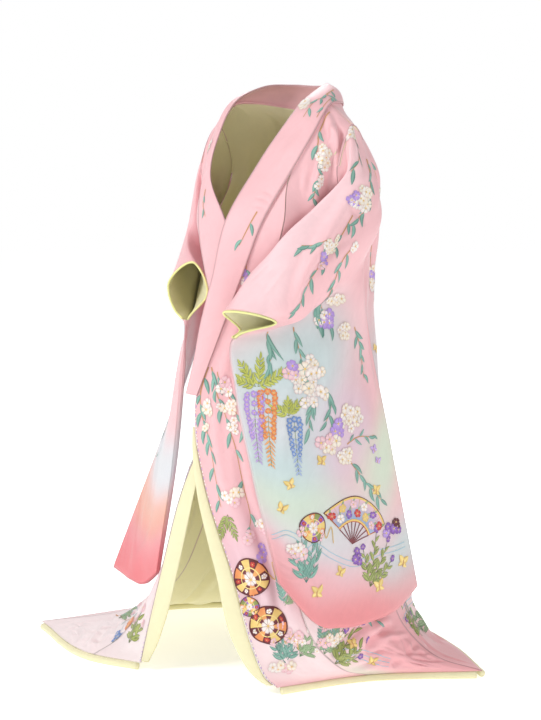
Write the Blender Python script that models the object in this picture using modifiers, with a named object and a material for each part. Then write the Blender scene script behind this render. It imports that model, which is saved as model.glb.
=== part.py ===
"""Uchikake: the padded, trailing outer kimono of a wedding dress, as it stands when worn.

Every piece that a maker cuts is one closed cloth wall: back, front and overlap panels, collar
band, sleeves, cuff rolls and the padded fuki along the fronts and the hem. The wearer faces -Y,
the wearer's left is +X and the shoulder rest is the origin. Tables give heights above the floor.
"""
import math
from collections import namedtuple

import bpy
import numpy as np

SHOULDER_REST = 1.335        # height of the origin above the floor
CLOTH = 0.0024               # wall of silk, wadding and lining
COLLAR_CLOTH = 0.0030
SEAM_GAP = 0.0008            # between pieces that are sewn together
CREASE_GAP = 0.0012          # where two walls meet at an angle
STEEPEST_SEAM = 2.2          # tangent of the sharpest half angle that a seam is eased for
COLLAR_LAP = 0.0031          # how far the collar band lies outside the panels it is sewn over
COLLAR_COVER = 0.0030        # how far it reaches over their edges
BAG_PLAY = 0.0058            # half the space between a sleeve's two hanging layers
CUFF_ROLL = 0.0026           # radius of the lining roll at a wrist
HEM_ROLL = 0.0085            # radius of the padded hem
HEM_ROLL_OUT = 0.0030        # how far the roll stands out past the silk
FLOOR_GAP = 0.0002           # between the roll and the floor
NECK_TURN = 0.08             # how far from the shoulder seam the back starts to fall from the neck
NECK_CELLS = 9               # of the back's cells across, those that lie under the collar
NECK_LAP = 0.0020            # how far below the collar's seam the back's edge lies
ARM_PLAY = 0.0007            # added to the seam gap where a body panel meets its sleeve
ARM_ROWS = 5                 # rows of a body panel that are sewn to its sleeve
NARROW_COLLAR = 0.06         # a collar narrower than this is rounded less
COLLAR_EDGE_PULL = 0.7       # how firmly the collar's free edge sets off round the neck
BAG_CLOSE = 0.7              # how much nearer a sleeve's layers lie at its bottom
FOLD_BLUNTNESS = 0.7         # below 1, a fold rises and dies away sooner
OKUMI_TIP = (-0.010, -0.006, -0.012)    # from the collar seam to an overlap panel's sharp top
FUKI_CLEAR = (0.07, 0.0)     # share of its thickness that each front band keeps from the silk
HEM_HEIGHT = 0.0177          # the cloth's edge above the floor, on its roll
RIGHT_SHOULDER = 0.95        # the right shoulder's width beside the left one's

Finish = namedtuple("Finish", "colour roughness")
SILK = Finish((0.86, 0.52, 0.55, 1.0), 0.55)
SLEEVE_SILK = Finish((0.84, 0.60, 0.62, 1.0), 0.55)
LINING = Finish((0.86, 0.88, 0.55, 1.0), 0.6)

# Plan of the body at each height: (across, fore and aft) of the seams, left edge to right edge.
# Press flattens the fronts under the arms; corner sharpens the side seams down to the hem.
Section = namedtuple("Section", "name height left_edge left_okumi left_side left_back centre_back "
                                "right_back right_side right_okumi right_edge press corner")
SECTIONS = (
    Section("sash", 1.085, (0.098, -0.150), (0.142, -0.128), (0.194, 0.020), (0.150, 0.210),
            (0.000, 0.255), (-0.150, 0.210), (-0.187, 0.020), (-0.135, -0.112), (-0.100, -0.140), 1.25, 0.0),
    Section("waist", 0.960, (0.066, -0.186), (0.118, -0.150), (0.186, 0.028), (0.148, 0.195),
            (0.000, 0.238), (-0.148, 0.195), (-0.182, 0.028), (-0.098, -0.112), (-0.055, -0.165), 1.25, 0.0),
    Section("hands", 0.860, (0.030, -0.202), (0.094, -0.166), (0.186, 0.033), (0.148, 0.190),
            (0.000, 0.230), (-0.148, 0.190), (-0.184, 0.035), (-0.076, -0.114), (-0.010, -0.178), 1.1, 0.0),
    Section("belly", 0.770, (-0.010, -0.208), (0.096, -0.172), (0.192, 0.037), (0.150, 0.194),
            (0.000, 0.232), (-0.150, 0.194), (-0.194, 0.042), (-0.080, -0.126), (0.015, -0.180), 0.9, 0.0),
    Section("hip", 0.685, (-0.048, -0.212), (0.098, -0.178), (0.204, 0.040), (0.152, 0.198),
            (0.000, 0.238), (-0.152, 0.198), (-0.206, 0.047), (-0.092, -0.134), (0.000, -0.182), 0.6, 0.0),
    Section("thigh", 0.585, (-0.050, -0.212), (0.102, -0.182), (0.218, 0.048), (0.158, 0.208),
            (0.000, 0.248), (-0.158, 0.206), (-0.220, 0.053), (-0.106, -0.136), (-0.046, -0.192), 0.4, 0.0),
    Section("knee", 0.480, (-0.026, -0.211), (0.110, -0.180), (0.232, 0.060), (0.163, 0.220),
            (0.000, 0.262), (-0.165, 0.217), (-0.242, 0.060), (-0.138, -0.134), (-0.090, -0.206), 0.3, 0.0),
    Section("shin", 0.270, (0.058, -0.207), (0.178, -0.142), (0.266, 0.096), (0.180, 0.250),
            (0.004, 0.298), (-0.190, 0.248), (-0.300, 0.070), (-0.205, -0.132), (-0.161, -0.210), 0.2, 0.1),
    Section("ankle", 0.120, (0.106, -0.200), (0.212, -0.098), (0.292, 0.142), (0.200, 0.285),
            (0.010, 0.345), (-0.225, 0.268), (-0.382, 0.040), (-0.285, -0.156), (-0.205, -0.213), 0.0, 0.4),
    Section("instep", 0.050, (0.130, -0.185), (0.234, -0.030), (0.350, 0.186), (0.228, 0.322),
            (0.015, 0.405), (-0.320, 0.268), (-0.485, -0.015), (-0.330, -0.188), (-0.222, -0.216), 0.0, 0.8),
    Section("hem", HEM_HEIGHT, (0.150, -0.162), (0.252, 0.050), (0.445, 0.245), (0.272, 0.372),
            (0.015, 0.478), (-0.470, 0.245), (-0.660, -0.148), (-0.352, -0.256), (-0.218, -0.230), 0.0, 1.0),
)

# The yoke above the armpits, wearer's left: (across, fore and aft, height) of each seam.
Yoke = namedtuple("Yoke", "name neck_front armhole_front armhole_back back_mid centre_back")
YOKE = (
    Yoke("shoulder", (0.150, 0.030, 1.345), (0.2060, 0.035, 1.300), (0.2060, 0.035, 1.300),
         (0.150, 0.030, 1.345), (0.000, 0.180, 1.325)),
    Yoke("collarbone", (0.150, -0.042, 1.270), (0.2106, -0.005, 1.245), (0.2133, 0.078, 1.250),
         (0.150, 0.115, 1.300), (0.000, 0.205, 1.268)),
    Yoke("chest", (0.132, -0.090, 1.195), (0.2062, -0.014, 1.185), (0.2108, 0.085, 1.185),
         (0.147, 0.190, 1.205), (0.000, 0.243, 1.190)),
)
ROWS_BETWEEN = (3, 2, 3, 2, 2, 2, 1, 2, 2, 3, 3, 2, 2)    # rows of cloth from each level to the next

# Collar band from the centre back round the neck and down each front: seam, free edge, roundness.
CollarStation = namedtuple("CollarStation", "name seam free crown")
COLLAR_LEFT = (
    CollarStation("nape", (0.000, 0.180, 1.327), (0.000, 0.163, 1.392), 0.008),
    CollarStation("back neck", (0.082, 0.146, 1.340), (0.050, 0.140, 1.394), 0.010),
    CollarStation("side neck", (0.133, 0.088, 1.350), (0.080, 0.085, 1.388), 0.012),
    CollarStation("shoulder", (0.150, 0.030, 1.347), (0.085, 0.015, 1.355), 0.008),
    CollarStation("collarbone", (0.150, -0.042, 1.272), (0.058, -0.058, 1.268), 0.004),
    CollarStation("chest", (0.132, -0.090, 1.197), (0.038, -0.104, 1.200), 0.004),
    CollarStation("sash", (0.098, -0.150, 1.087), (0.015, -0.180, 1.085), 0.004),
    CollarStation("waist", (0.066, -0.186, 0.961), (-0.002, -0.208, 0.955), 0.004),
    CollarStation("hands", (0.030, -0.202, 0.861), (-0.028, -0.217, 0.855), 0.004),
    CollarStation("belly", (-0.010, -0.208, 0.771), (-0.048, -0.219, 0.768), 0.004),
    CollarStation("hip", (-0.048, -0.212, 0.685), (-0.076, -0.215, 0.687), 0.002),
)
COLLAR_RIGHT = (
    CollarStation("nape", (0.000, 0.180, 1.327), (0.000, 0.163, 1.392), 0.008),
    CollarStation("back neck", (-0.079, 0.146, 1.340), (-0.053, 0.138, 1.394), 0.009),
    CollarStation("side neck", (-0.127, 0.088, 1.350), (-0.090, 0.078, 1.388), 0.009),
    CollarStation("shoulder", (-0.1425, 0.030, 1.347), (-0.104, 0.008, 1.360), 0.008),
    CollarStation("collarbone", (-0.1425, -0.042, 1.272), (-0.106, -0.066, 1.268), 0.004),
    CollarStation("chest", (-0.1254, -0.090, 1.197), (-0.092, -0.108, 1.185), 0.004),
    CollarStation("sash", (-0.100, -0.140, 1.087), (0.004, -0.160, 1.075), 0.004),
    CollarStation("waist", (-0.055, -0.165, 0.961), (0.045, -0.172, 0.955), 0.004),
    CollarStation("hands", (-0.010, -0.178, 0.861), (0.062, -0.176, 0.855), 0.004),
    CollarStation("belly", (0.015, -0.180, 0.771), (0.052, -0.178, 0.768), 0.004),
    CollarStation("hip", (0.000, -0.182, 0.685), (0.018, -0.183, 0.685), 0.004),
)

# Which way each sleeve's outer layer faces, high up and at its foot.
LEFT_FACES = ((0.93, -0.36, 0.0), (0.93, -0.36, 0.0))
RIGHT_FACES = ((-0.86, -0.51, 0.0), (-0.35, -0.94, 0.0))

# Sleeves from armhole to cuff: the ring round the arm, then the hanging bag below it.
SleeveStation = namedtuple("SleeveStation", "name top outer under inner neck waist middle bottom")
SLEEVE_LEFT = (
    SleeveStation("armhole", (0.2085, 0.0350, 1.3020), (0.2150, 0.0920, 1.2050), (0.2100, 0.0586, 1.1016),
                  (0.2122, -0.0246, 1.2034), (0.2120, 0.0475, 1.0679), (0.2115, 0.0815, 0.8513),
                  (0.2660, 0.0960, 0.6000), (0.3200, 0.1480, 0.2250)),
    SleeveStation("upper arm", (0.2372, -0.0091, 1.2095), (0.2644, 0.0695, 1.0899), (0.2345, 0.0392, 0.9787),
                  (0.2222, 0.0022, 1.0629), (0.2346, 0.0296, 0.9557), (0.2244, 0.0488, 0.8190),
                  (0.2620, 0.0450, 0.5900), (0.3100, 0.0850, 0.1820)),
    SleeveStation("elbow", (0.1920, -0.0750, 1.1200), (0.2430, -0.0520, 1.0300), (0.2293, -0.0280, 0.9522),
                  (0.1831, -0.0516, 1.0313), (0.2127, -0.0255, 0.9341), (0.2220, -0.0280, 0.8000),
                  (0.2500, -0.0300, 0.5700), (0.2960, 0.0000, 0.1680)),
    SleeveStation("forearm", (0.1500, -0.1570, 1.0400), (0.2150, -0.1280, 0.9580), (0.2100, -0.0780, 0.9050),
                  (0.1360, -0.1280, 0.9500), (0.1820, -0.0950, 0.8880), (0.2000, -0.1020, 0.7650),
                  (0.2300, -0.1100, 0.5500), (0.2760, -0.0800, 0.1680)),
    SleeveStation("wrist", (0.1160, -0.2160, 0.9700), (0.1840, -0.1900, 0.9120), (0.1920, -0.1260, 0.8720),
                  (0.1080, -0.1880, 0.9000), (0.1380, -0.1680, 0.8460), (0.1660, -0.1840, 0.7300),
                  (0.1980, -0.1860, 0.5450), (0.2500, -0.1500, 0.1900)),
    SleeveStation("cuff", (0.0850, -0.2650, 0.8920), (0.1560, -0.2380, 0.8900), (0.1668, -0.1814, 0.8673),
                  (0.0868, -0.2110, 0.8434), (0.0916, -0.2408, 0.8287), (0.1080, -0.2520, 0.7200),
                  (0.1530, -0.2520, 0.5450), (0.2080, -0.2240, 0.2900)),
)
SLEEVE_RIGHT = (
    SleeveStation("armhole", (-0.1985, 0.0340, 1.3000), (-0.2050, 0.0920, 1.2050), (-0.2025, 0.0573, 1.1009),
                  (-0.2020, -0.0240, 1.2050), (-0.2056, 0.0482, 1.0714), (-0.2462, 0.0376, 0.8434),
                  (-0.3050, -0.0180, 0.5950), (-0.4530, -0.0820, 0.1860)),
    SleeveStation("upper arm", (-0.2174, -0.0175, 1.1889), (-0.2603, 0.0713, 1.0884), (-0.2483, 0.0430, 0.9758),
                  (-0.2121, 0.0014, 1.0649), (-0.2366, 0.0268, 0.9548), (-0.2540, 0.0059, 0.8032),
                  (-0.2860, -0.0400, 0.5900), (-0.4020, -0.1040, 0.1840)),
    SleeveStation("elbow", (-0.2220, -0.0480, 1.0550), (-0.2540, -0.0100, 0.9900), (-0.2308, -0.0099, 0.9354),
                  (-0.1818, -0.0387, 0.9856), (-0.2264, -0.0118, 0.9061), (-0.2300, -0.0400, 0.8000),
                  (-0.2580, -0.0780, 0.5800), (-0.3440, -0.1300, 0.1820)),
    SleeveStation("forearm", (-0.1780, -0.1040, 1.0150), (-0.2260, -0.0860, 0.9520), (-0.2040, -0.0780, 0.8800),
                  (-0.1400, -0.0860, 0.9400), (-0.1820, -0.0800, 0.8620), (-0.1960, -0.1000, 0.7600),
                  (-0.2140, -0.1260, 0.5700), (-0.2820, -0.1500, 0.1860)),
    SleeveStation("cuff", (-0.1200, -0.1420, 0.9840), (-0.1960, -0.1460, 0.9280), (-0.1625, -0.1566, 0.8666),
                  (-0.0823, -0.1362, 0.9139), (-0.1317, -0.1575, 0.8481), (-0.1400, -0.1600, 0.7300),
                  (-0.1500, -0.1720, 0.5550), (-0.2150, -0.1720, 0.2300)),
)

# Main folds: where across and how far down a panel each runs, and how far it stands out.
Fold = namedtuple("Fold", "across_top across_bottom start end width height")
FOLDS = {
    "front_left": (
        Fold(0.62, 0.45, 0.02, 0.36, 0.13, 0.012),
        Fold(0.86, 0.80, 0.04, 0.30, 0.08, -0.010),
        Fold(0.30, 0.28, 0.35, 0.85, 0.16, 0.010),
        Fold(0.45, 0.72, 0.66, 0.98, 0.09, 0.016),
        Fold(0.75, 0.52, 0.60, 0.96, 0.10, -0.010),
        Fold(0.80, 0.88, 0.82, 1.00, 0.06, 0.009),
    ),
    "okumi_left": (
        Fold(0.45, 0.40, 0.40, 0.90, 0.18, 0.006),
        Fold(0.72, 0.70, 0.45, 0.96, 0.12, -0.008),
    ),
    "front_right": (
        Fold(0.50, 0.40, 0.02, 0.34, 0.15, 0.008),
        Fold(0.35, 0.40, 0.45, 0.95, 0.12, -0.008),
        Fold(0.70, 0.66, 0.72, 0.98, 0.10, 0.010),
    ),
    "okumi_right": (
        Fold(0.50, 0.55, 0.55, 0.96, 0.16, 0.007),
    ),
    "back_left": (
        Fold(0.30, 0.25, 0.40, 0.99, 0.09, 0.012),
        Fold(0.58, 0.60, 0.36, 0.99, 0.10, 0.015),
        Fold(0.82, 0.84, 0.52, 0.97, 0.06, -0.008),
        Fold(0.14, 0.12, 0.74, 1.00, 0.06, 0.012),
    ),
    "back_right": (
        Fold(0.22, 0.20, 0.42, 0.99, 0.10, 0.014),
        Fold(0.50, 0.48, 0.36, 0.98, 0.09, 0.012),
        Fold(0.76, 0.74, 0.70, 0.99, 0.08, 0.016),
        Fold(0.36, 0.34, 0.60, 0.97, 0.06, -0.008),
    ),
}

FRONT_CELLS, OKUMI_CELLS, BACK_CELLS = 8, 5, 13
COLLAR_CELLS, COLLAR_ROWS = 4, 32
BAG_CELLS, ARM_CELLS, SLEEVE_ROWS = 8, 14, 18
FUKI_SIDES, FUKI_ROWS = 8, 20

# The padded band along the lower front edges: how far it reaches past the silk.
FukiStation = namedtuple("FukiStation", "height reach_left reach_right thickness")
FUKI = (
    FukiStation(0.610, 0.006, 0.006, 0.0040),
    FukiStation(0.480, 0.022, 0.038, 0.0070),
    FukiStation(0.270, 0.042, 0.054, 0.0100),
    FukiStation(0.120, 0.046, 0.052, 0.0130),
    FukiStation(0.060, 0.034, 0.040, 0.0140),
    FukiStation(0.024, 0.020, 0.024, 0.0140),
)


def clear_scene():
    """Remove what a new file starts with."""
    for thing in list(bpy.data.objects):
        bpy.data.objects.remove(thing)


def make_material(name, finish):
    """Return a plain cloth material."""
    material = bpy.data.materials.new(name)
    material.use_nodes = True
    shader = material.node_tree.nodes["Principled BSDF"]
    shader.inputs["Base Color"].default_value = finish.colour
    shader.inputs["Roughness"].default_value = finish.roughness
    shader.inputs["Metallic"].default_value = 0.0
    return material


def chord_knots(points):
    """Return each point's distance along the run of points."""
    steps = np.linalg.norm(np.diff(np.asarray(points, float), axis=0), axis=1)
    return np.concatenate(([0.0], np.cumsum(steps)))


def smooth(knots, values, at, start=None, closed=False):
    """Pass a smooth curve through values at knots and read it at the places asked for."""
    knots = np.asarray(knots, float)
    values = np.asarray(values, float)
    slopes = np.empty_like(values)
    steps = np.diff(knots).reshape((-1,) + (1,) * (values.ndim - 1))
    rises = np.diff(values, axis=0) / steps
    slopes[1:-1] = (rises[:-1] * steps[1:] + rises[1:] * steps[:-1]) / (steps[:-1] + steps[1:])
    slopes[0] = rises[0] if start is None else start
    slopes[-1] = rises[-1]
    if closed:
        join = (rises[-1] * steps[0] + rises[0] * steps[-1]) / (steps[0] + steps[-1])
        slopes[0] = join
        slopes[-1] = join
    at = np.clip(np.asarray(at, float), knots[0], knots[-1])
    span = np.clip(np.searchsorted(knots, at, side="right") - 1, 0, len(knots) - 2)
    width = (knots[span + 1] - knots[span]).reshape((-1,) + (1,) * (values.ndim - 1))
    t = ((at - knots[span]).reshape(width.shape)) / width
    return ((2 * t**3 - 3 * t**2 + 1) * values[span] + (t**3 - 2 * t**2 + t) * width * slopes[span]
            + (3 * t**2 - 2 * t**3) * values[span + 1] + (t**3 - t**2) * width * slopes[span + 1])


def run_through(points, count):
    """Return count + 1 points evenly along a smooth curve through the points."""
    knots = chord_knots(points)
    return smooth(knots, points, np.linspace(knots[0], knots[-1], count + 1))


def stretch_of(points, first, last, count):
    """Return count + 1 points of the smooth curve between two of its own points."""
    knots = chord_knots(points)
    return smooth(knots, points, np.linspace(knots[first], knots[last], count + 1))


def section_row(section, first, last, count):
    """Return one panel's share of a body section, pressed flat or cornered as the section says."""
    plan = [(x, y, section.height) for x, y in section[2:11]]
    row = stretch_of(plan, first, last, count)
    sides = (2, 6)
    begin = max([0] + [side for side in sides if side <= first])
    finish = min([8] + [side for side in sides if side >= last])
    cornered = stretch_of(plan[begin:finish + 1], first - begin, last - begin, count)
    row = row + (cornered - row) * section.corner
    if (first, last) in ((1, 2), (6, 7)):
        chord = row[0] + (row[-1] - row[0]) * np.linspace(0.0, 1.0, count + 1)[:, None]
        row = row + (chord - row) * section.press
    return row


def level_places():
    """Return the levels' distances down the side of the body and those of every row of cloth."""
    line = [yoke.armhole_front for yoke in YOKE]
    line += [(*section.left_side, section.height) for section in SECTIONS]
    knots = chord_knots(line)
    places = [np.linspace(knots[step], knots[step + 1], rows + 1)[:-1]
              for step, rows in enumerate(ROWS_BETWEEN)]
    return knots, np.concatenate(places + [knots[-1:]])


def neck_row(stations, shoulder, armhole, count):
    """Return a back panel's top row: under the collar from the nape, then out along the shoulder."""
    seam = np.array([station.seam for station in stations])
    knots = chord_knots(seam)
    sideways = np.array((math.copysign(1.0, seam[1][0]), 0.0, 0.0))
    under_collar = smooth(knots, seam, np.linspace(0.0, knots[3], NECK_CELLS + 1), start=sideways)
    outward = run_through([shoulder, armhole], count - NECK_CELLS)
    return np.concatenate((under_collar[:-1] - (0.0, 0.0, NECK_LAP), outward))


def yoke_row(yoke, name, mirror, count):
    """Return one panel's share of a yoke section, from the collar side or centre to the armhole."""
    flip = np.array((mirror, 1.0, 1.0))
    if name.startswith("front"):
        return run_through([yoke.neck_front * flip, yoke.armhole_front * flip], count)
    if yoke.name == "shoulder":
        stations = COLLAR_LEFT if name.endswith("left") else COLLAR_RIGHT
        return neck_row(stations, yoke.back_mid * flip, yoke.armhole_back * flip, count)
    whole = [np.array(yoke.armhole_back) * (-1, 1, 1), np.array(yoke.back_mid) * (-1, 1, 1),
             np.array(yoke.centre_back), np.array(yoke.back_mid), np.array(yoke.armhole_back)]
    return stretch_of(whole, 2, 4, count) * flip


def body_panel(name):
    """Return a front or back panel's grid of points, shoulder to hem, seam to seam."""
    mirror = 1.0 if name.endswith("left") else -RIGHT_SHOULDER
    front = name.startswith("front")
    count = FRONT_CELLS if front else BACK_CELLS
    rows = [yoke_row(yoke, name, mirror, count) for yoke in YOKE]
    lines = {"front_left": (1, 2), "back_left": (4, 2), "front_right": (7, 6), "back_right": (4, 6)}
    first, last = lines[name]
    for section in SECTIONS:
        row = section_row(section, min(first, last), max(first, last), count)
        rows.append(row[::-1] if first > last else row)
    rows = np.array(rows)
    knots, places = level_places()
    over_shoulder = np.zeros_like(rows[0])
    over_shoulder[:, 1] = -1.0 if front else 1.0
    if not front:
        neck = np.clip((rows[0][:, 1:2] - YOKE[0].back_mid[1]) / NECK_TURN, 0.0, 1.0)
        fall = (rows[1] - rows[0]) / knots[1]
        over_shoulder = over_shoulder * (1 - neck) + fall * neck
    return smooth(knots, rows, places, start=over_shoulder)


def okumi_panel(name):
    """Return an overlap panel's grid, from its tip at the chest to the hem, edge to seam."""
    left = name.endswith("left")
    first, last = (0, 1) if left else (8, 7)
    mirror = np.array((1.0 if left else -RIGHT_SHOULDER, 1.0, 1.0))
    tip = np.array(OKUMI_TIP)
    rows = []
    for yoke in YOKE:
        seam = np.array(yoke.neck_front) * mirror
        rows.append(run_through([seam + tip * mirror, seam], OKUMI_CELLS))
    for section in SECTIONS:
        row = section_row(section, min(first, last), max(first, last), OKUMI_CELLS)
        rows.append(row[::-1] if first > last else row)
    knots, places = level_places()
    over_shoulder = np.zeros_like(rows[0])
    over_shoulder[:, 1] = -1.0
    return smooth(knots, np.array(rows), places, start=over_shoulder)[sum(ROWS_BETWEEN[:2]):]


def grid_normals(grid):
    """Return the unit normal at each point of a grid."""
    down = np.gradient(grid, axis=0)
    across = np.gradient(grid, axis=1)
    normals = np.cross(down, across)
    return normals / np.maximum(np.linalg.norm(normals, axis=2, keepdims=True), 1e-9)


def fold_cloth(grid, folds, outward):
    """Raise ridges and sink troughs, fading out at the panel's seams and at their own ends."""
    down = np.linspace(0.0, 1.0, grid.shape[0])[:, None]
    across = np.linspace(0.0, 1.0, grid.shape[1])[None, :]
    lift = np.zeros(grid.shape[:2])
    for fold in folds:
        along = np.clip((down - fold.start) / (fold.end - fold.start), 0.0, 1.0)
        middle = fold.across_top + (fold.across_bottom - fold.across_top) * along
        window = np.sin(math.pi * along) ** FOLD_BLUNTNESS * (along > 0) * (along < 1)
        lift += fold.height * window * np.exp(-((across - middle) / fold.width) ** 2)
    seams = np.sin(math.pi * across)
    return grid + grid_normals(grid) * (lift * seams * outward)[..., None]


def seam_directions(grid, column):
    """Return the unit direction from a seam into the panel at each row."""
    inner = 1 if column == 0 else column - 1
    inward = grid[:, inner] - grid[:, column]
    return inward / np.maximum(np.linalg.norm(inward, axis=1, keepdims=True), 1e-9)


def seam_pull(own, partner):
    """Return how far to draw a wall back from its seam: more where two panels meet at an angle."""
    straight = np.clip(-np.sum(own * partner, axis=1), -1.0, 1.0)
    half_turn = np.arccos(straight) / 2
    return SEAM_GAP / 2 + CLOTH / 2 * np.minimum(np.tan(half_turn), STEEPEST_SEAM)


def draw_in(grid, pulls, top):
    """Pull a grid back from its side seams by each row's own amount, and from its top edge."""
    out = grid.copy()
    for column, pull in zip((0, -1), pulls):
        out[:, column] += seam_directions(grid, column) * np.reshape(pull, (-1, 1))
    down = grid[1] - grid[0]
    out[0] += down / np.maximum(np.linalg.norm(down, axis=1, keepdims=True), 1e-9) * top
    return out


def fit_seams(grids):
    """Draw every body panel back from the panels that it is sewn to."""
    tip = sum(ROWS_BETWEEN[:2])
    underarm = sum(ROWS_BETWEEN[:3])
    fitted = {}
    for side in ("left", "right"):
        front, okumi, back = (grids[f"{part}_{side}"] for part in ("front", "okumi", "back"))
        other_back = grids["back_right" if side == "left" else "back_left"]
        front[underarm:, -1] = (front[underarm:, -1] + back[underarm:, -1]) / 2
        back[underarm:, -1] = front[underarm:, -1]
        side_seam = seam_pull(seam_directions(front, -1), seam_directions(back, -1))
        okumi_seam = seam_pull(seam_directions(front, 0)[tip:], seam_directions(okumi, -1))
        front_pulls = (np.concatenate((np.full(tip, SEAM_GAP / 2), okumi_seam)), side_seam)
        centre_seam = seam_pull(seam_directions(back, 0), seam_directions(other_back, 0))
        fitted["front_" + side] = draw_in(front, front_pulls, CREASE_GAP)
        fitted["okumi_" + side] = draw_in(okumi, (0.0, okumi_seam), CREASE_GAP)
        fitted["back_" + side] = draw_in(back, (centre_seam, side_seam), CREASE_GAP)
    return fitted


def meet_sleeve(grid, rings):
    """Carry a body panel's armhole edge out to the sleeve's first ring, and its next points half as far."""
    out = grid.copy()
    starts, runs = rings[0][:-1], np.diff(rings[0], axis=0)
    into_panel = seam_directions(grid, -1)
    for row in range(ARM_ROWS + 1):
        edge = grid[row, -1]
        along = np.clip(np.sum((edge - starts) * runs, axis=1) / np.sum(runs**2, axis=1), 0.0, 1.0)
        places = starts + runs * along[:, None]
        nearest = int(np.argmin(np.linalg.norm(places - edge, axis=1)))
        into_sleeve = rings[1][nearest] - rings[0][nearest]
        into_sleeve = into_sleeve / np.linalg.norm(into_sleeve)
        pull = seam_pull(into_panel[row:row + 1], into_sleeve[None, :])[0] * 2 + ARM_PLAY
        shift = places[nearest] + into_panel[row] * pull - edge
        out[row, -1] += shift
        out[row, -2] += shift / 2
    return out


def cloth_object(name, points, faces, material, collection, wall=CLOTH):
    """Make one piece of cloth: an open surface with its thickness from Solidify."""
    mesh = bpy.data.meshes.new(name)
    drop = np.array((0.0, 0.0, SHOULDER_REST))
    mesh.from_pydata([tuple(p - drop) for p in points], [], faces)
    mesh.materials.append(material)
    mesh.validate()
    mesh.update()
    mesh.shade_smooth()
    piece = bpy.data.objects.new(name, mesh)
    collection.objects.link(piece)
    if wall:
        shell = piece.modifiers.new("wall", "SOLIDIFY")
        shell.thickness = wall
        shell.offset = 0.0
    return piece


def grid_faces(rows, columns, flip=False, wrap=False):
    """Return the quads of a grid, wrapped round where its columns close up."""
    faces = []
    for row in range(rows - 1):
        for column in range(columns if wrap else columns - 1):
            after = (column + 1) % columns
            quad = (row * columns + column, row * columns + after,
                    (row + 1) * columns + after, (row + 1) * columns + column)
            faces.append(quad[::-1] if flip else quad)
    return faces


def add_panel(name, grid, material, collection, flip, wall=CLOTH):
    """Add a grid of points as a cloth panel."""
    rows, columns = grid.shape[:2]
    return cloth_object(name, grid.reshape(-1, 3), grid_faces(rows, columns, flip), material,
                        collection, wall)


def collar_grid(stations):
    """Return the collar band's grid: a strip from its seam to its free edge."""
    knots = chord_knots([station.seam for station in stations])
    places = np.linspace(0.0, knots[-1], COLLAR_ROWS + 1)
    sideways = np.array((math.copysign(1.0, stations[1].seam[0]), 0.0, 0.0))
    seams = smooth(knots, [station.seam for station in stations], places, start=sideways)
    frees = smooth(knots, [station.free for station in stations], places, start=sideways * COLLAR_EDGE_PULL)
    cover = (seams - frees) / np.linalg.norm(seams - frees, axis=1, keepdims=True) * COLLAR_COVER
    across = np.linspace(0.0, 1.0, COLLAR_CELLS + 1)[None, :, None]
    return (seams + cover)[:, None, :] * (1 - across) + frees[:, None, :] * across


def crown(grid, stations, outward):
    """Round the collar across its width, as much as each station says."""
    knots = chord_knots([station.seam for station in stations])
    places = np.linspace(0.0, knots[-1], COLLAR_ROWS + 1)
    height = np.interp(places, knots, [station.crown for station in stations])[:, None]
    across = np.linspace(0.0, 1.0, grid.shape[1])[None, :]
    width = np.linalg.norm(grid[:, -1] - grid[:, 0], axis=1)[:, None]
    lift = COLLAR_LAP + height * np.sin(math.pi * across) * np.minimum(width / NARROW_COLLAR, 1.0)
    return grid + grid_normals(grid) * (lift * outward)[..., None]


def sleeve_rings(stations, waist_faces, bottom_faces):
    """Return the sleeve's rings: up the bag's outer layer, round the arm, down its inner layer."""
    rings = []
    for station in stations:
        neck, waist, middle, bottom = (np.array(place) for place in station[5:])
        neck_faces = np.array(station.outer) - np.array(station.inner)
        neck_faces[2] = 0.0
        neck_play = neck_faces / np.linalg.norm(neck_faces) * BAG_PLAY
        waist_turn = neck_faces / np.linalg.norm(neck_faces) + np.array(waist_faces)
        waist_play = waist_turn / np.linalg.norm(waist_turn) * BAG_PLAY
        bottom_play = np.array(bottom_faces) * BAG_PLAY * BAG_CLOSE
        middle_play = (np.array(waist_faces) + np.array(bottom_faces)) / 2 * BAG_PLAY
        outer_side = [bottom + bottom_play, middle + middle_play, waist + waist_play, neck + neck_play]
        inner_side = [neck - neck_play, waist - waist_play, middle - middle_play, bottom - bottom_play]
        arm = [station.under, station.outer, station.top, station.inner]
        up = stretch_of(outer_side + [arm[0]], 0, 3, BAG_CELLS)
        around = stretch_of(outer_side[2:] + arm + inner_side[:2], 1, 6, ARM_CELLS)
        down = stretch_of([arm[-1]] + inner_side, 1, 4, BAG_CELLS)
        rings.append(np.concatenate((up, around[1:-1], down)))
    rings = np.array(rings)
    knots = chord_knots(rings[:, BAG_CELLS + ARM_CELLS // 2] * 0.5 + rings[:, 0] * 0.5)
    return smooth(knots, rings, np.linspace(0.0, knots[-1], SLEEVE_ROWS + 1))


def add_sleeve(name, stations, faces_out, material, collection, flip):
    """Add a sleeve: open at the armhole and body side, closed below the wrist opening."""
    rings = sleeve_rings(stations, *faces_out)
    rows, columns = rings.shape[:2]
    faces = grid_faces(rows, columns, flip, wrap=True)
    last = (rows - 1) * columns
    for step in range(BAG_CELLS):
        quad = (last + step, last + step + 1, last + columns - 2 - step, last + columns - 1 - step)
        faces.append(quad[::-1] if flip else quad)
    cloth_object(name, rings.reshape(-1, 3), faces, material, collection)
    return rings


def add_roll(name, points, radius, material, collection):
    """Add a padded roll: a curve with a round section, its ends filled."""
    curve = bpy.data.curves.new(name, "CURVE")
    curve.dimensions = "3D"
    curve.bevel_depth = radius
    curve.bevel_resolution = 1
    curve.use_fill_caps = True
    line = curve.splines.new("POLY")
    line.points.add(len(points) - 1)
    for point, place in zip(line.points, points):
        point.co = (place[0], place[1], place[2] - SHOULDER_REST, 1.0)
    curve.materials.append(material)
    roll = bpy.data.objects.new(name, curve)
    collection.objects.link(roll)
    return roll


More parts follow.
